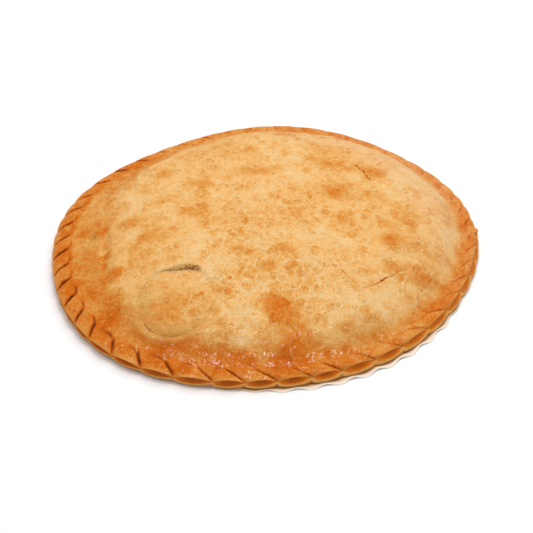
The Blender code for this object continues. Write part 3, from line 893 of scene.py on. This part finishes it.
def pale_bloom(x, y, angle, reach):
    """How much of a pale bloom there is: on the right, most of it inside the folds, in
    uneven streaks."""
    kept, end, fade = BLOOM_ON_FOLDS
    band = smooth((BLOOM_REACH - reach) / BLOOM_FADE)
    band = band * at_least(kept, smooth((reach - end) / fade))
    return lobe(angle, BLOOM) * band * (1.0 + noises(x, y, (BLOOM_STREAKS,)))


def vent_crumbs_and_shade(x, y):
    """How much crumbly dough the vent's cut bares, with painted shade: a wall behind, darkened as
    painted shade, with a sharp foot and a soft border above it, and bell curves across the slopes
    on the left and in front, where the band behind the front lip and the thin lines under the lip's
    edge are painted shade."""
    off, angle = off_vent(x, y)
    degrees = np.degrees(angle)
    height = CRUMB_HEIGHT + lobe(angle, CRUMB_PEAK)
    inside, fade = CRUMB_START
    begun = smooth((off + inside) / fade)
    wall = begun * smooth((height - off) / (CRUMB_SOFTNESS * height))
    share, side, spread = WALL_SHADE_DARKEST
    wall *= at_least(share, hump(angle, side, spread))
    foot, fade = WALL_FOOT_SHADOW
    crumb_and_shade = np.maximum(wall, begun * smooth((foot - off) / fade))
    (start, rise), (end, fall) = CRUMB_WALL
    crumb_and_shade *= smooth((degrees - start) / rise) * smooth((end - degrees) / fall)
    for share, inside, width, side, spread in CRUMB_AND_SHADE_SLOPES:
        slope = share * bell(off + inside, width) * hump(angle, side, spread)
        crumb_and_shade = np.maximum(crumb_and_shade, slope)
    return np.minimum(crumb_and_shade, 1.0)


def bubbling(x, y, reach):
    """Share of the small ring-like blisters that show: most at the front right."""
    patch = np.zeros_like(x)
    for px, py, wide in RING_PATCHES:
        cx, cy = on_crust(px, py)
        distance = np.hypot(x - cx, y - cy) / (wide * MM)
        patch = np.maximum(patch, smooth(RING_END - distance))
    off, _ = off_vent(x, y)
    fewer, fade = VENT_CALM
    beyond = 1.0 - fewer * smooth(-off / fade)
    start, fade = RING_EDGE
    return at_least(RING_SHARE, patch) * smooth((reach - start) / fade) * beyond


def cut_distances(x, y):
    """Distance from the thin cuts, with a sign for the side and without, and how dark
    the nearest one is there."""
    signed, nearest = np.full_like(x, CUT_FAR), np.full_like(x, CUT_FAR)
    dark = np.zeros_like(x)
    for cut in CUTS:
        corners = [(*on_crust(px, py), share) for px, py, share in cut]
        for (x0, y0, share0), (x1, y1, share1) in zip(corners[:-1], corners[1:]):
            length = math.hypot(x1 - x0, y1 - y0)
            ahead, beside = (x1 - x0) / length, (y1 - y0) / length
            along = np.clip((x - x0) * ahead + (y - y0) * beside, 0.0, length)
            off_x, off_y = x - x0 - along * ahead, y - y0 - along * beside
            distance = np.hypot(off_x, off_y)
            side = np.where(ahead * off_y - beside * off_x < 0.0, -1.0, 1.0)
            nearer = distance < nearest
            signed = np.where(nearer, side * distance, signed)
            nearest = np.where(nearer, distance, nearest)
            dark = np.where(nearer, share0 + (share1 - share0) * along / length, dark)
    return signed, nearest, dark


class Skin:
    """A closed surface of rings in order, from a single point outwards round a border
    and in to a single point. Each ring has as many points as the last, or half.

    A point has its place, its browning with its painted light and shade, its wash, and how far it
    belongs to the top."""

    COLUMNS = ("x", "y", "z", "bake", "gloss", "top")

    def __init__(self):
        self.rings = []

    def add(self, **values):
        """Adds a ring, from arrays or from numbers that hold all round it."""
        size = max(np.size(value) for value in values.values())
        ring = [np.broadcast_to(values.get(name, 0.0), size) for name in self.COLUMNS]
        self.rings.append(np.array(ring))

    def points(self):
        """The columns of all its rings, one after another."""
        return dict(zip(self.COLUMNS, np.concatenate(self.rings, axis=1)))

    def triangles(self):
        """Triangles between each ring and the next. They face outwards where the rings
        go round anticlockwise, seen from above, and start on the underside."""
        sizes = [ring.shape[1] for ring in self.rings]
        starts = np.cumsum([0] + sizes)
        faces = []
        for a, b, size, following in zip(starts, starts[1:], sizes, sizes[1:]):
            i = np.arange(max(size, following))
            j = (i + 1) % len(i)
            if size == 1:
                faces.append([a + 0 * i, b + j, b + i])
            elif following == 1:
                faces.append([a + i, a + j, b + 0 * i])
            elif size == following:
                faces += [[a + i, a + j, b + j], [a + i, b + j, b + i]]
            else:
                i = np.arange(following)
                j = (i + 1) % following
                faces.append([a + 2 * i, a + 2 * i + 1, b + i])
                faces.append([a + 2 * i + 1, b + j, b + i])
                faces.append([a + 2 * i + 1, a + 2 * j, b + j])
        return np.concatenate([np.column_stack(face) for face in faces])


def base_rings(skin, angle):
    """The flat base and its rounded corner, which the rim overhangs."""
    skin.add(x=0.0, y=0.0, z=BASE_LEVEL, bake=BASE_BROWN)
    for reach, level in BASE_ROWS:
        x, y = turned(angle, outline(angle) - reach)
        skin.add(x=x, y=y, z=level, bake=BASE_BROWN)


def torn(angle):
    """How far the torn tip and the ragged edge in front of it stand out from the lip."""
    tip_x, tip_y = on_crust(*TIP)
    tip = TIP_LENGTH * hump(angle, math.degrees(math.atan2(tip_y, tip_x)), TIP_WIDTH)
    depth, size, side, spread = TORN_EDGE
    ragged = value_noise(angle * PIE_RADIUS, 0.0 * angle, size, TORN_SEED)
    return tip + depth * ragged * hump(angle, side, spread)


def side_rings(skin, angle, place):
    """The rim's outer side from the bottom up: the next fold's end, the lower lip that
    sweeps up to the joint, the hollow facet and the edge of the upper lip.

    The lips arch as a sine between the joints, and all rows bulge by a square root of
    the arch, half of it out and half of it in. The upper lip leans in by a parabola."""
    arch = pinched(angle, np.sin(math.pi * place))
    bulge = LIP_BULGE * (np.sqrt(arch) - 0.5) * (1.0 - lobe(angle, BULGE_LOSS))
    upper = upper_lip(angle, place)
    start, end = SAG_PLACES
    sag = smooth(place / start) * (1.0 - smooth((place - end) / (1.0 - end)))
    sag = sag * (1.0 - lobe(angle, DROP_LOSS))
    lens = JOINT_LEVEL - LOWER_LIP_DROP * pinched(angle, sag)
    thick = LIP_THICKNESS + lobe(angle, LIP_THICKENING)
    opened = smooth((place - GROOVE_START) / (1.0 - GROOVE_START))
    groove = BOTTOM_LEVEL + (lens - thick - BOTTOM_LEVEL) * opened
    gap = smooth((groove - BOTTOM_LEVEL) / GROOVE_GAP)

    side = []
    for out, rise, brown_light_and_shade in BOTTOM_ROWS:
        side.append((out, BOTTOM_LEVEL + rise, brown_light_and_shade))
    for out, share in GROOVE_ROWS:
        side.append((out + GROOVE_OUT * gap, between(BOTTOM_LEVEL, groove, share), LIP_BROWN))
    # The groove darkens as it gapes: painted shade
    side.append((GROOVE_PLACE, groove, LIP_BROWN + GROOVE_SHADE * gap))
    for out, share in LOWER_LIP_ROWS:
        side.append((out, between(groove, lens, share), LOWER_LIP_BROWN))

    facet = FACET_BROWN_AND_SHADOW - lobe(angle, FACET_PALER)
    hollow = FACET_DEPTH * at_least(FACET_ENDS, arch)
    paler, border = FACET_BORDER
    edge_place, below = UPPER_EDGE
    for share in np.linspace(0.0, 1.0, FACET_ROWS):
        edge = abs(2.0 * share - 1.0)
        depth = hollow * (1.0 - edge**FACET_CURVE)
        inner = arch**FACET_SPREAD * (1.0 - paler * smooth((edge - border) / (1.0 - border)))
        # Darker towards the upper lip: painted shadow under it
        brown_light_and_shade = LIP_BROWN + (facet - LIP_BROWN) * inner * at_least(FACET_FOOT, share)
        side.append((FACET_PLACE - depth, lens + (upper - below - lens) * share, brown_light_and_shade))
    side.append((edge_place, upper, LIP_BROWN))

    lean = -lobes(angle, LIP_LEANS)
    drawn_in = lobe(angle, LOWER_LIP_IN)
    tip = torn(angle)
    for out, level, brown_light_and_shade in side:
        climb = np.clip((level - BOTTOM_LEVEL) / (upper - BOTTOM_LEVEL), 0.0, 1.0)
        out = out + bulge + lean * climb**2 + tip * climb - drawn_in * (1.0 - climb)
        x, y = turned(angle, outline(angle) + out)
        skin.add(x=x, y=y, z=level, bake=brown_light_and_shade, gloss=SIDE_WASH)
    return bulge + lean


def rim_rings(skin, angle, place, fold, bulge):
    """The folds, ring by ring in from the lip. The top rounds over to the lip as a
    quarter sine, and the columns slant with the creases."""
    rng = np.random.default_rng(FOLD_SEED)
    own_height = 1.0 + rng.uniform(-FOLD_VARIETY, FOLD_VARIETY, CRIMPS)[fold]
    own_end = rng.uniform(0.0, END_VARIETY, CRIMPS)[fold]
    own_brown = rng.uniform(-FOLD_BROWN, FOLD_BROWN, CRIMPS)[fold]
    drop = smooth((place - CRIMP_CREST) / (1.0 - CRIMP_CREST))
    end, fade = DROP_REACH
    bulge = bulge + torn(angle)
    reaches = np.arange(RIM_START, RIM_ROWS_END, RIM_ROW)
    for reach in reaches:
        here = slanted(angle, reach)
        folds = fold_relief(here, place, max(reach, LIP_ROUNDING), own_end)
        line = crease_line(here, place, reach, own_end)
        level = crust_height(here, max(reach, LIP_ROUNDING))
        folds = folds * (1.0 - lobe(here, FOLD_LOWERING))
        level += fold_strength(here) * own_height * folds - CREASE_DEPTH * line
        over = math.sin(0.5 * math.pi * min(reach / LIP_ROUNDING, 1.0))
        lip = upper_lip(angle, place)
        # Browner along the creases, which also paints the shade in them
        dark = CREASE_BROWN_AND_SHADE * (1.0 - lobe(here, CREASE_PALER))
        brown_light_and_shade = own_brown + dark * line + LIP_BROWN * (1.0 - over)
        # Painted shade on the face where a fold drops to the next crease, turned from the light
        brown_light_and_shade += DROP_SHADE * drop * smooth((end - reach) / fade)
        x, y = turned(here, outline(here) - reach + bulge * (1.0 - over))
        skin.add(x=x, y=y, z=lip + (level - lip) * over, bake=brown_light_and_shade, top=over)
    return slanted(angle, reaches[-1]), reaches[-1]


def dome_rings(skin, angle, reach):
    """The shelf and dome, ring by ring to the middle. The columns even out first, and
    every second one ends wherever the rings have grown small."""
    even = angle[0] + np.linspace(0.0, math.tau, len(angle), endpoint=False)
    first = PIE_RADIUS - reach
    halvings = list(HALVING_RADII)
    for radius in np.arange(first - DOME_ROW, MIDDLE_RADIUS, -DOME_ROW):
        if halvings and radius < halvings[0]:
            halvings.pop(0)
            angle, even = angle[::2], even[::2]
        here = angle + (even - angle) * smooth((first - radius) / EVEN_REACH)
        x, y = turned(here, radius / first * (outline(here) - reach))
        x, y = crowd_to_vent(x, y)
        skin.add(x=x, y=y, z=crust_height_at(x, y), top=1.0)
    skin.add(x=0.0, y=0.0, z=crust_height_at(0.0, 0.0), top=1.0)


def dress_top(points):
    """Adds the dough's relief, the browning with its painted shade and light, and the egg wash to
    the upper side, and sets what else the crust's material reads, among it the vent's bared crumbs
    and painted shade. The browning bends over to its limit as it does where it is divided by a root
    of 1 and its own power."""
    x, y, top = points["x"], points["y"], points["top"]
    angle = np.arctan2(y, x)
    reach = outline(angle) - np.hypot(x, y)
    crumb_and_shade = vent_crumbs_and_shade(x, y) * top
    soft = at_least(RIM_SOFTNESS, smooth((reach - CRIMP_REACH) / SOFT_FADE))
    spots, rise = spot_strengths(x, y)
    signed, cut_gap, dark = cut_distances(x, y)
    front = lobe(angle, FRONT_RELIEF) * smooth((FRONT_DEPTH - reach) / FRONT_FADE)
    lip = vent_lip(x, y, VENT_LIP)
    relief = soft * (rise + (1.0 + front) * dough_relief(x, y)) * (1.0 - crumb_and_shade) * (1.0 - lip)
    relief += CRUMB_RELIEF * crumb_and_shade * value_noise(x, y, CRUMB_SIZE, CRUMB_SEED)
    relief -= CUT_DEPTH * bell(cut_gap, CUT_SOFTNESS)
    points["z"] += top * relief
    brown_light_and_shade = browning_light_and_shade(x, y, angle, reach) + soft * spots
    spotted = np.clip(spots / SPOT_FULL, 0.0, 1.0)
    over = np.maximum(brown_light_and_shade / BROWN_LIMIT, 0.0) ** LIMIT_SHARPNESS
    points["bake"] += top * brown_light_and_shade / (1.0 + over) ** (1.0 / LIMIT_SHARPNESS)
    points["gloss"] += top * wash(angle, reach)
    points["crumb_and_shade"] = crumb_and_shade
    points["bloom"] = top * pale_bloom(x, y, angle, reach)
    plain = np.clip(brown_light_and_shade / PATTERN_BROWNEST, 0.0, 1.0) * (1.0 - PATTERN_LEFT)
    patterned = (1.0 - plain) * (1.0 - VENT_LIP_PLAIN * lip) * (1.0 - SPOT_PLAIN * spotted)
    points["pattern"] = np.where(top > 0.5, patterned, PATTERN_SIDE)
    points["rings"] = bubbling(x, y, reach)
    points["cut"] = signed
    points["cut_gap"] = cut_gap
    points["cut_dark"] = dark


def make_piece(name, skin, points, paint, material):
    """Puts a skin into a mesh, with its paint as attributes of the points."""
    mesh = bpy.data.meshes.new(name)
    places = np.column_stack([points[axis] for axis in ("x", "y", "z")])
    mesh.from_pydata(places.tolist(), [], skin.triangles().tolist())
    for attribute in paint:
        layer = mesh.attributes.new(attribute, "FLOAT", "POINT")
        layer.data.foreach_set("value", points[attribute].astype(np.float32))
    mesh.shade_smooth()
    mesh.materials.append(material)
    piece = bpy.data.objects.new(name, mesh)
    bpy.context.scene.collection.objects.link(piece)
    return piece


def build_crust():
    """The whole pie as one closed skin."""
    skin = Skin()
    angle, place, fold = rim_columns()
    base_rings(skin, angle)
    bulge = side_rings(skin, angle, place)
    dome_rings(skin, *rim_rings(skin, angle, place, fold, bulge))
    points = skin.points()
    dress_top(points)
    crust = make_piece("crust", skin, points, CRUST_PAINT, baked_crust())
    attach(crust, "root")
    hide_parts("empanada")


def paper_place(angle, share):
    """A point of the paper's border, which starts at share 0 and ends at share 1, as x,
    y, z. The flutes are a cosine round it that grows as a power of the share, and the
    paper's edge is drawn in where they rise."""
    free = at_least(FLUTE_PRESSED, hump(angle, *FLUTE_FREE_SIDE))
    wave = np.cos(FLUTES * (angle - math.radians(FLUTE_CREST)))
    radius = FLAT_RADIUS + share * (PAPER_RADIUS - FLAT_RADIUS)
    radius = radius - FLUTE_SCALLOP * free * wave * share**SCALLOP_GROWTH
    lift = share**FLUTE_GROWTH * free * (FLUTE_LIFT + FLUTE_HEIGHT * wave)
    return *turned(angle, radius), lift


def build_paper():
    """The paper round: a thin flat disc whose border is fluted and lifts off."""
    skin = Skin()
    angle = np.linspace(0.0, math.tau, FLUTES * FLUTE_COLUMNS, endpoint=False)
    angle = angle + math.radians(FLUTE_CREST)
    shares = np.linspace(0.0, 1.0, FLUTE_ROWS)
    skin.add(x=0.0, y=0.0, z=0.0, bake=1.0)
    for level, order in ((0.0, shares), (PAPER_THICKNESS, shares[::-1])):
        for share in order:
            x, y, z = paper_place(angle, share)
            skin.add(x=x, y=y, z=level + z)
    skin.add(x=0.0, y=0.0, z=PAPER_THICKNESS, bake=1.0)
    points = skin.points()
    points["x"] += PAPER_CENTRE[0]
    points["y"] += PAPER_CENTRE[1]
    x, y = points["x"], points["y"]
    # Tan next to the crust, with fat and with painted shadow under its edge
    bared = np.hypot(x, y) - outline(np.arctan2(y, x))
    grease_and_shade = 1.0 - smooth((bared + GREASE_AND_SHADE_START) / GREASE_AND_SHADE_FADE)
    # Painted shade in the flutes' valleys
    lifted = points["z"] / (FLUTE_LIFT + FLUTE_HEIGHT)
    points["bake"] = grease_and_shade + VALLEY_SHADE * (1.0 - lifted)
    paper = make_piece("paper", skin, points, ("bake",), baking_paper())
    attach(paper, "root")
    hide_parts("paper_round")


def linear(colour):
    """An sRGB hex colour as linear red, green, blue and alpha, by the standard curve."""
    srgb = np.array([int(colour[i : i + 2], 16) for i in (1, 3, 5)]) / 255.0
    rgb = np.where(srgb <= 0.04045, srgb / 12.92, ((srgb + 0.055) / 1.055) ** 2.4)
    return (*rgb, 1.0)


def add_node(tree, kind, inputs, out=0, **settings):
    """Adds a shader node with its settings, and returns one of its outputs. Each input
    is a value or a socket to link. Stops of a colour ramp are (place, hex colour)."""
    node = tree.nodes.new(kind)
    stops = settings.pop("stops", ())
    for name, value in settings.items():
        setattr(node, name, value)
    for name, value in inputs.items():
        if isinstance(value, bpy.types.NodeSocket):
            tree.links.new(value, node.inputs[name])
        else:
            node.inputs[name].default_value = value
    for k, (position, colour) in enumerate(stops):
        elements = node.color_ramp.elements
        stop = elements[k] if k < len(elements) else elements.new(position)
        stop.position, stop.color = position, linear(colour)
    return node.outputs[out]


def new_material(name):
    """An empty material: it, its shader and the function that adds a node to it."""
    material = bpy.data.materials.new(name)
    material.use_nodes = True
    tree = material.node_tree
    return material, tree.nodes["Principled BSDF"], functools.partial(add_node, tree)


def dress_shader(material, shader, **inputs):
    """Sets or links the shader's inputs, whose names are written with underscores."""
    for name, value in inputs.items():
        socket = shader.inputs[name.replace("_", " ")]
        if isinstance(value, bpy.types.NodeSocket):
            material.node_tree.links.new(value, socket)
        else:
            socket.default_value = value


def baked_crust():
    """Wheat dough baked under egg wash. On top it is matt and mottled pale gold, with pale veins
    and small rings where blisters rose and sank, and a pale bloom on the right. On the rim and the
    front slope the wash makes it a glossy orange brown, with painted shade darkening the front
    slope, the creases, the facets and the vent's wall."""
    material, shader, node = new_material("Egg-washed baked crust")
    place = node("ShaderNodeTexCoord", {}, "Object")
    place = node("ShaderNodeMapping", {"Vector": place, "Scale": (1.0, ROLLED, 1.0)})
    bake, gloss, crumb_and_shade, bloom, patterned, rings, cut, cut_gap, cut_dark = (
        node("ShaderNodeAttribute", {}, "Fac", attribute_name=name) for name in CRUST_PAINT
    )
    mottle, fine, grain = (
        node(
            "ShaderNodeTexNoise",
            {
                "Vector": place, "Scale": 1.0 / size, "Detail": detail,
                "Roughness": NOISE_ROUGHNESS,
            },
        )
        for size, detail in ((MOTTLE_SIZE, 3.0), (FINE_SIZE, 2.0), (GRAIN_SIZE, 1.0))
    )
    low, high = PATCH_RANGE
    patch = node(
        "ShaderNodeMapRange", {"Value": mottle, "From Min": low, "From Max": high},
        interpolation_type="SMOOTHSTEP",
    )
    bend = node(
        "ShaderNodeTexNoise", {"Vector": place, "Scale": 1.0 / BEND_SIZE, "Detail": 2.0}, "Color"
    )
    warped, crowded, wobbled = (
        node("ShaderNodeVectorMath", {0: bend, 1: (far,) * 3, 2: place}, operation="MULTIPLY_ADD")
        for far in WARPS
    )

    # Veins are the borders between warped cells, and break off here and there
    borders = node(
        "ShaderNodeTexVoronoi", {"Vector": warped, "Scale": 1.0 / VEIN_SIZE}, "Distance",
        feature="DISTANCE_TO_EDGE",
    )
    low, high = VEIN_FADE
    vein = node(
        "ShaderNodeMapRange",
        {"Value": borders, "From Min": low, "From Max": high, "To Min": 1.0, "To Max": 0.0},
    )
    low, high = VEIN_KEPT
    kept = node("ShaderNodeMapRange", {"Value": mottle, "From Min": low, "From Max": high})
    vein = node("ShaderNodeMath", {0: vein, 1: kept}, operation="MULTIPLY")

    # The dough rose in small cells, each of its own shade, with paler creases between
    cells = {"Vector": crowded, "Scale": 1.0 / CELL_SIZE}
    shade = node("ShaderNodeTexVoronoi", cells, "Color", feature="SMOOTH_F1")
    shade = node("ShaderNodeSeparateColor", {"Color": shade}, "Red")
    cell_rim = node("ShaderNodeTexVoronoi", cells, "Distance", feature="DISTANCE_TO_EDGE")
    low, high = CELL_RIM_FADE
    cell_rim = node(
        "ShaderNodeMapRange",
        {"Value": cell_rim, "From Min": low, "From Max": high, "To Min": 1.0, "To Max": 0.0},
        interpolation_type="SMOOTHSTEP",
    )
    crowd = node("ShaderNodeMapRange", {"Value": rings, "To Min": CELL_RIM_LEAST})
    cell_rim = node("ShaderNodeMath", {0: cell_rim, 1: crowd}, operation="MULTIPLY")

    # A cut is a thin dark line, whose width and darkness vary along it
    wide = node("ShaderNodeMath", {0: fine, 1: CUT_WIDTH}, operation="MULTIPLY")
    off_cut = node("ShaderNodeMath", {0: cut}, operation="ABSOLUTE")
    off_cut = node("ShaderNodeMath", {0: off_cut, 1: wide}, operation="SUBTRACT")
    off_cut = node(
        "ShaderNodeMapRange",
        {"Value": off_cut, "From Min": -CUT_EDGE, "From Max": 0.0, "To Min": 1.0, "To Max": 0.0},
    )
    near_cut = node("ShaderNodeMath", {0: cut_gap, 1: CUT_END}, operation="LESS_THAN")
    line = node("ShaderNodeMath", {0: off_cut, 1: near_cut}, operation="MULTIPLY")
    line = node("ShaderNodeMath", {0: line, 1: cut_dark}, operation="MULTIPLY")

    # Blisters are domes of random size, seen from above, each with a browner middle
    # and a pale rim
    smallest, largest = BLISTER_SIZES
    total = 0.0
    height = node("ShaderNodeMath", {0: fine, 1: FINE_RISE}, operation="MULTIPLY")
    for spacing, most, rim_brown, middle_brown, rise in BLISTERS_SHOWN:
        cells = {"Vector": wobbled, "Scale": 1.0 / spacing}
        distance = node("ShaderNodeTexVoronoi", cells, "Distance", voronoi_dimensions="2D")
        chance = node("ShaderNodeTexVoronoi", cells, "Color", voronoi_dimensions="2D")
        luck = node("ShaderNodeSeparateColor", {"Color": chance}, "Green")
        share = node("ShaderNodeMath", {0: rings, 1: most}, operation="MULTIPLY")
        shown = node("ShaderNodeMath", {0: luck, 1: share}, operation="LESS_THAN")
        radius = node("ShaderNodeSeparateColor", {"Color": chance}, "Red")
        radius = node(
            "ShaderNodeMapRange", {"Value": radius, "To Min": smallest, "To Max": largest}
        )
        inside = node("ShaderNodeMath", {0: radius, 1: distance}, operation="SUBTRACT")
        rim = node("ShaderNodeMath", {0: inside}, operation="ABSOLUTE")
        rim = node(
            "ShaderNodeMapRange",
            {"Value": rim, "From Min": 0.0, "From Max": BLISTER_RIM, "To Min": 1.0, "To Max": 0.0},
        )
        rim = node("ShaderNodeMath", {0: rim, 1: shown}, operation="MULTIPLY")
        dome = node(
            "ShaderNodeMapRange", {"Value": inside, "From Min": 0.0, "From Max": BLISTER_SLOPE},
            interpolation_type="SMOOTHSTEP",
        )
        dome = node("ShaderNodeMath", {0: dome, 1: shown}, operation="MULTIPLY")
        for part, amount in ((rim, rim_brown), (dome, middle_brown)):
            total = node("ShaderNodeMath", {0: part, 1: amount, 2: total}, operation="MULTIPLY_ADD")
        height = node("ShaderNodeMath", {0: dome, 1: rise, 2: height}, operation="MULTIPLY_ADD")

    # The patterns are centred, held back on plain or very brown crust, and added to
    # the browning
    for pattern, amount in (
        (mottle, MOTTLE_BROWN), (patch, PATCH_BROWN), (fine, FINE_BROWN), (grain, GRAIN_BROWN),
        (vein, VEIN_BROWN), (shade, CELL_BROWN), (cell_rim, CELL_RIM_BROWN),
    ):
        total = node("ShaderNodeMath", {0: pattern, 1: amount, 2: total}, operation="MULTIPLY_ADD")
    middle = NOISE_MIDDLE * (MOTTLE_BROWN + FINE_BROWN + GRAIN_BROWN + CELL_BROWN)
    middle += PATCH_MIDDLE * PATCH_BROWN
    middle += CELL_RIM_MIDDLE * CELL_RIM_BROWN
    total = node("ShaderNodeMath", {0: total, 1: middle}, operation="SUBTRACT")
    total = node("ShaderNodeMath", {0: total, 1: patterned}, operation="MULTIPLY")
    room = node("ShaderNodeMath", {0: DARKEST_PATTERN, 1: bake}, operation="SUBTRACT")
    room = node("ShaderNodeMath", {0: room, 1: 0.0}, operation="MAXIMUM")
    total = node(
        "ShaderNodeMath", {0: total, 1: room, 2: DARKEST_SOFTNESS}, operation="SMOOTH_MIN"
    )
    total = node("ShaderNodeMath", {0: total, 1: bake}, operation="ADD")
    total = node("ShaderNodeMath", {0: line, 1: CUT_BROWN, 2: total}, operation="MULTIPLY_ADD")
    crust = node("ShaderNodeValToRGB", {"Fac": total}, "Color", stops=CRUST_COLOURS)
    crust = node(
        "ShaderNodeMix", {"Factor": bloom, 6: crust, 7: linear(BLOOM_COLOUR)}, 2,
        data_type="RGBA",
    )

    # Crumbs are grains of lighter and darker dough that thin out at their border. Where they are
    # thick they darken, as painted shade on the vent's wall and under its front lip
    darkened, added = CRUMB_SPECKLE
    speckle = node("ShaderNodeMath", {0: grain, 1: darkened, 2: added}, operation="MULTIPLY_ADD")
    speckle = node(
        "ShaderNodeMath", {0: crumb_and_shade, 1: CRUMB_WALL_SHADE, 2: speckle}, operation="MULTIPLY_ADD"
    )
    bared = node("ShaderNodeValToRGB", {"Fac": speckle}, "Color", stops=CRUMB_AND_SHADE_COLOURS)
    cover = node("ShaderNodeMath", {0: grain, 1: CRUMB_COVER}, operation="MULTIPLY")
    cover = node("ShaderNodeMath", {0: cover, 1: crumb_and_shade}, operation="MULTIPLY", use_clamp=True)
    colour = node(
        "ShaderNodeMix", {"Factor": cover, 6: crust, 7: bared}, 2, data_type="RGBA"
    )

    for pattern, rise in (
        (grain, GRAIN_RISE), (vein, VEIN_RISE), (cell_rim, CELL_RIM_RISE), (line, CUT_RISE),
    ):
        height = node("ShaderNodeMath", {0: pattern, 1: rise, 2: height}, operation="MULTIPLY_ADD")
    bump = node("ShaderNodeBump", {"Height": height, "Distance": 1.0}, "Normal")

    # The wash filled the fine grain, and dried in wrinkles of its own. None is on the crumbs and
    # their painted shade
    wrinkle = node(
        "ShaderNodeTexNoise", {"Vector": place, "Scale": 1.0 / WRINKLE_SIZE, "Detail": 1.5}
    )
    wrinkle = node("ShaderNodeMath", {0: wrinkle, 1: WRINKLE_RISE}, operation="MULTIPLY")
    wrinkled = node("ShaderNodeBump", {"Height": wrinkle, "Distance": 1.0}, "Normal")
    low, high = WASH_RANGE
    coat = node(
        "ShaderNodeMapRange",
        {"Value": mottle, "From Min": low, "From Max": high, "To Min": WASH_LEAST},
        interpolation_type="SMOOTHSTEP",
    )
    bare = node("ShaderNodeMath", {0: 1.0, 1: crumb_and_shade}, operation="SUBTRACT")
    coat = node("ShaderNodeMath", {0: coat, 1: bare}, operation="MULTIPLY")
    coat = node("ShaderNodeMath", {0: coat, 1: gloss}, operation="MULTIPLY")
    dull = node(
        "ShaderNodeMapRange",
        {"Value": gloss, "To Min": DULL_ROUGHNESS, "To Max": WASHED_ROUGHNESS},
    )
    dress_shader(
        material, shader, Base_Color=colour, Roughness=dull, Normal=bump, Coat_Normal=wrinkled,
        Coat_Weight=coat, Coat_Roughness=0.1, IOR=1.45, Specular_IOR_Level=0.05,
    )
    return material


def baking_paper():
    """Thin white greaseproof paper, pressed into flutes: matt and faintly fibrous, and tan where it
    comes out from under the crust, with fat and with the crust's painted shadow, and in the flutes'
    valleys, as painted shade."""
    material, shader, node = new_material("Greaseproof baking paper")
    place = node("ShaderNodeTexCoord", {}, "Object")
    inner = node("ShaderNodeAttribute", {}, "Fac", attribute_name="bake")
    fibres = node(
        "ShaderNodeTexNoise", {"Vector": place, "Scale": 1.0 / FIBRE_SIZE, "Detail": 3.0}
    )
    grease_and_shade = node("ShaderNodeMath", {0: fibres, 1: FIBRE_TAN, 2: inner}, operation="MULTIPLY_ADD")
    colour = node("ShaderNodeValToRGB", {"Fac": grease_and_shade}, "Color", stops=PAPER_COLOURS)
    bump = node("ShaderNodeBump", {"Height": fibres, "Distance": FIBRE_RISE}, "Normal")
    dress_shader(material, shader, Base_Color=colour, Normal=bump, Roughness=0.6, IOR=1.5)
    return material


def build_floor():
    """A plain wide white floor, which isn't part of the object."""
    material, shader, _ = new_material("White studio floor")
    dress_shader(
        material, shader, Base_Color=linear(FLOOR_COLOUR), Roughness=1.0, Specular_IOR_Level=0.0
    )
    bpy.ops.mesh.primitive_plane_add(size=FLOOR_SIZE)
    floor = bpy.context.object
    floor.name = "floor"
    floor.data.materials.append(material)


def build_light():
    """Soft light: a pale surround and one large lamp above, behind and to the right,
    which nothing mirrors, and two small weak ones for the glints on the wash."""
    world = bpy.data.worlds.new("studio")
    world.use_nodes = True
    background = world.node_tree.nodes["Background"]
    background.inputs["Color"].default_value = linear(SURROUND_COLOUR)
    background.inputs["Strength"].default_value = SURROUND_STRENGTH
    bpy.context.scene.world = world
    world.cycles_visibility.glossy = False
    for name, place, size, power, mirrored in LAMPS:
        lamp = bpy.data.lights.new(name, "AREA")
        lamp.size, lamp.energy = size, power
        holder = bpy.data.objects.new(name, lamp)
        holder.location = place
        holder.visible_glossy = mirrored
        holder.rotation_euler = (-Vector(place)).to_track_quat("-Z", "Y").to_euler()
        bpy.context.scene.collection.objects.link(holder)
    bpy.context.scene.view_settings.view_transform = "Standard"


def build_camera():
    """The camera at the photograph's viewing angle."""
    eye, ahead, _ = camera_axes()
    lens = bpy.data.cameras.new("camera")
    lens.sensor_width = SENSOR_WIDTH
    lens.lens = PHOTO_FOCAL / PHOTO_WIDTH * SENSOR_WIDTH
    holder = bpy.data.objects.new("camera", lens)
    holder.location = eye
    holder.rotation_euler = Vector(ahead).to_track_quat("-Z", "Y").to_euler()
    bpy.context.scene.collection.objects.link(holder)
    bpy.context.scene.camera = holder


build_camera()
build_light()
build_floor()
build_crust()
build_paper()
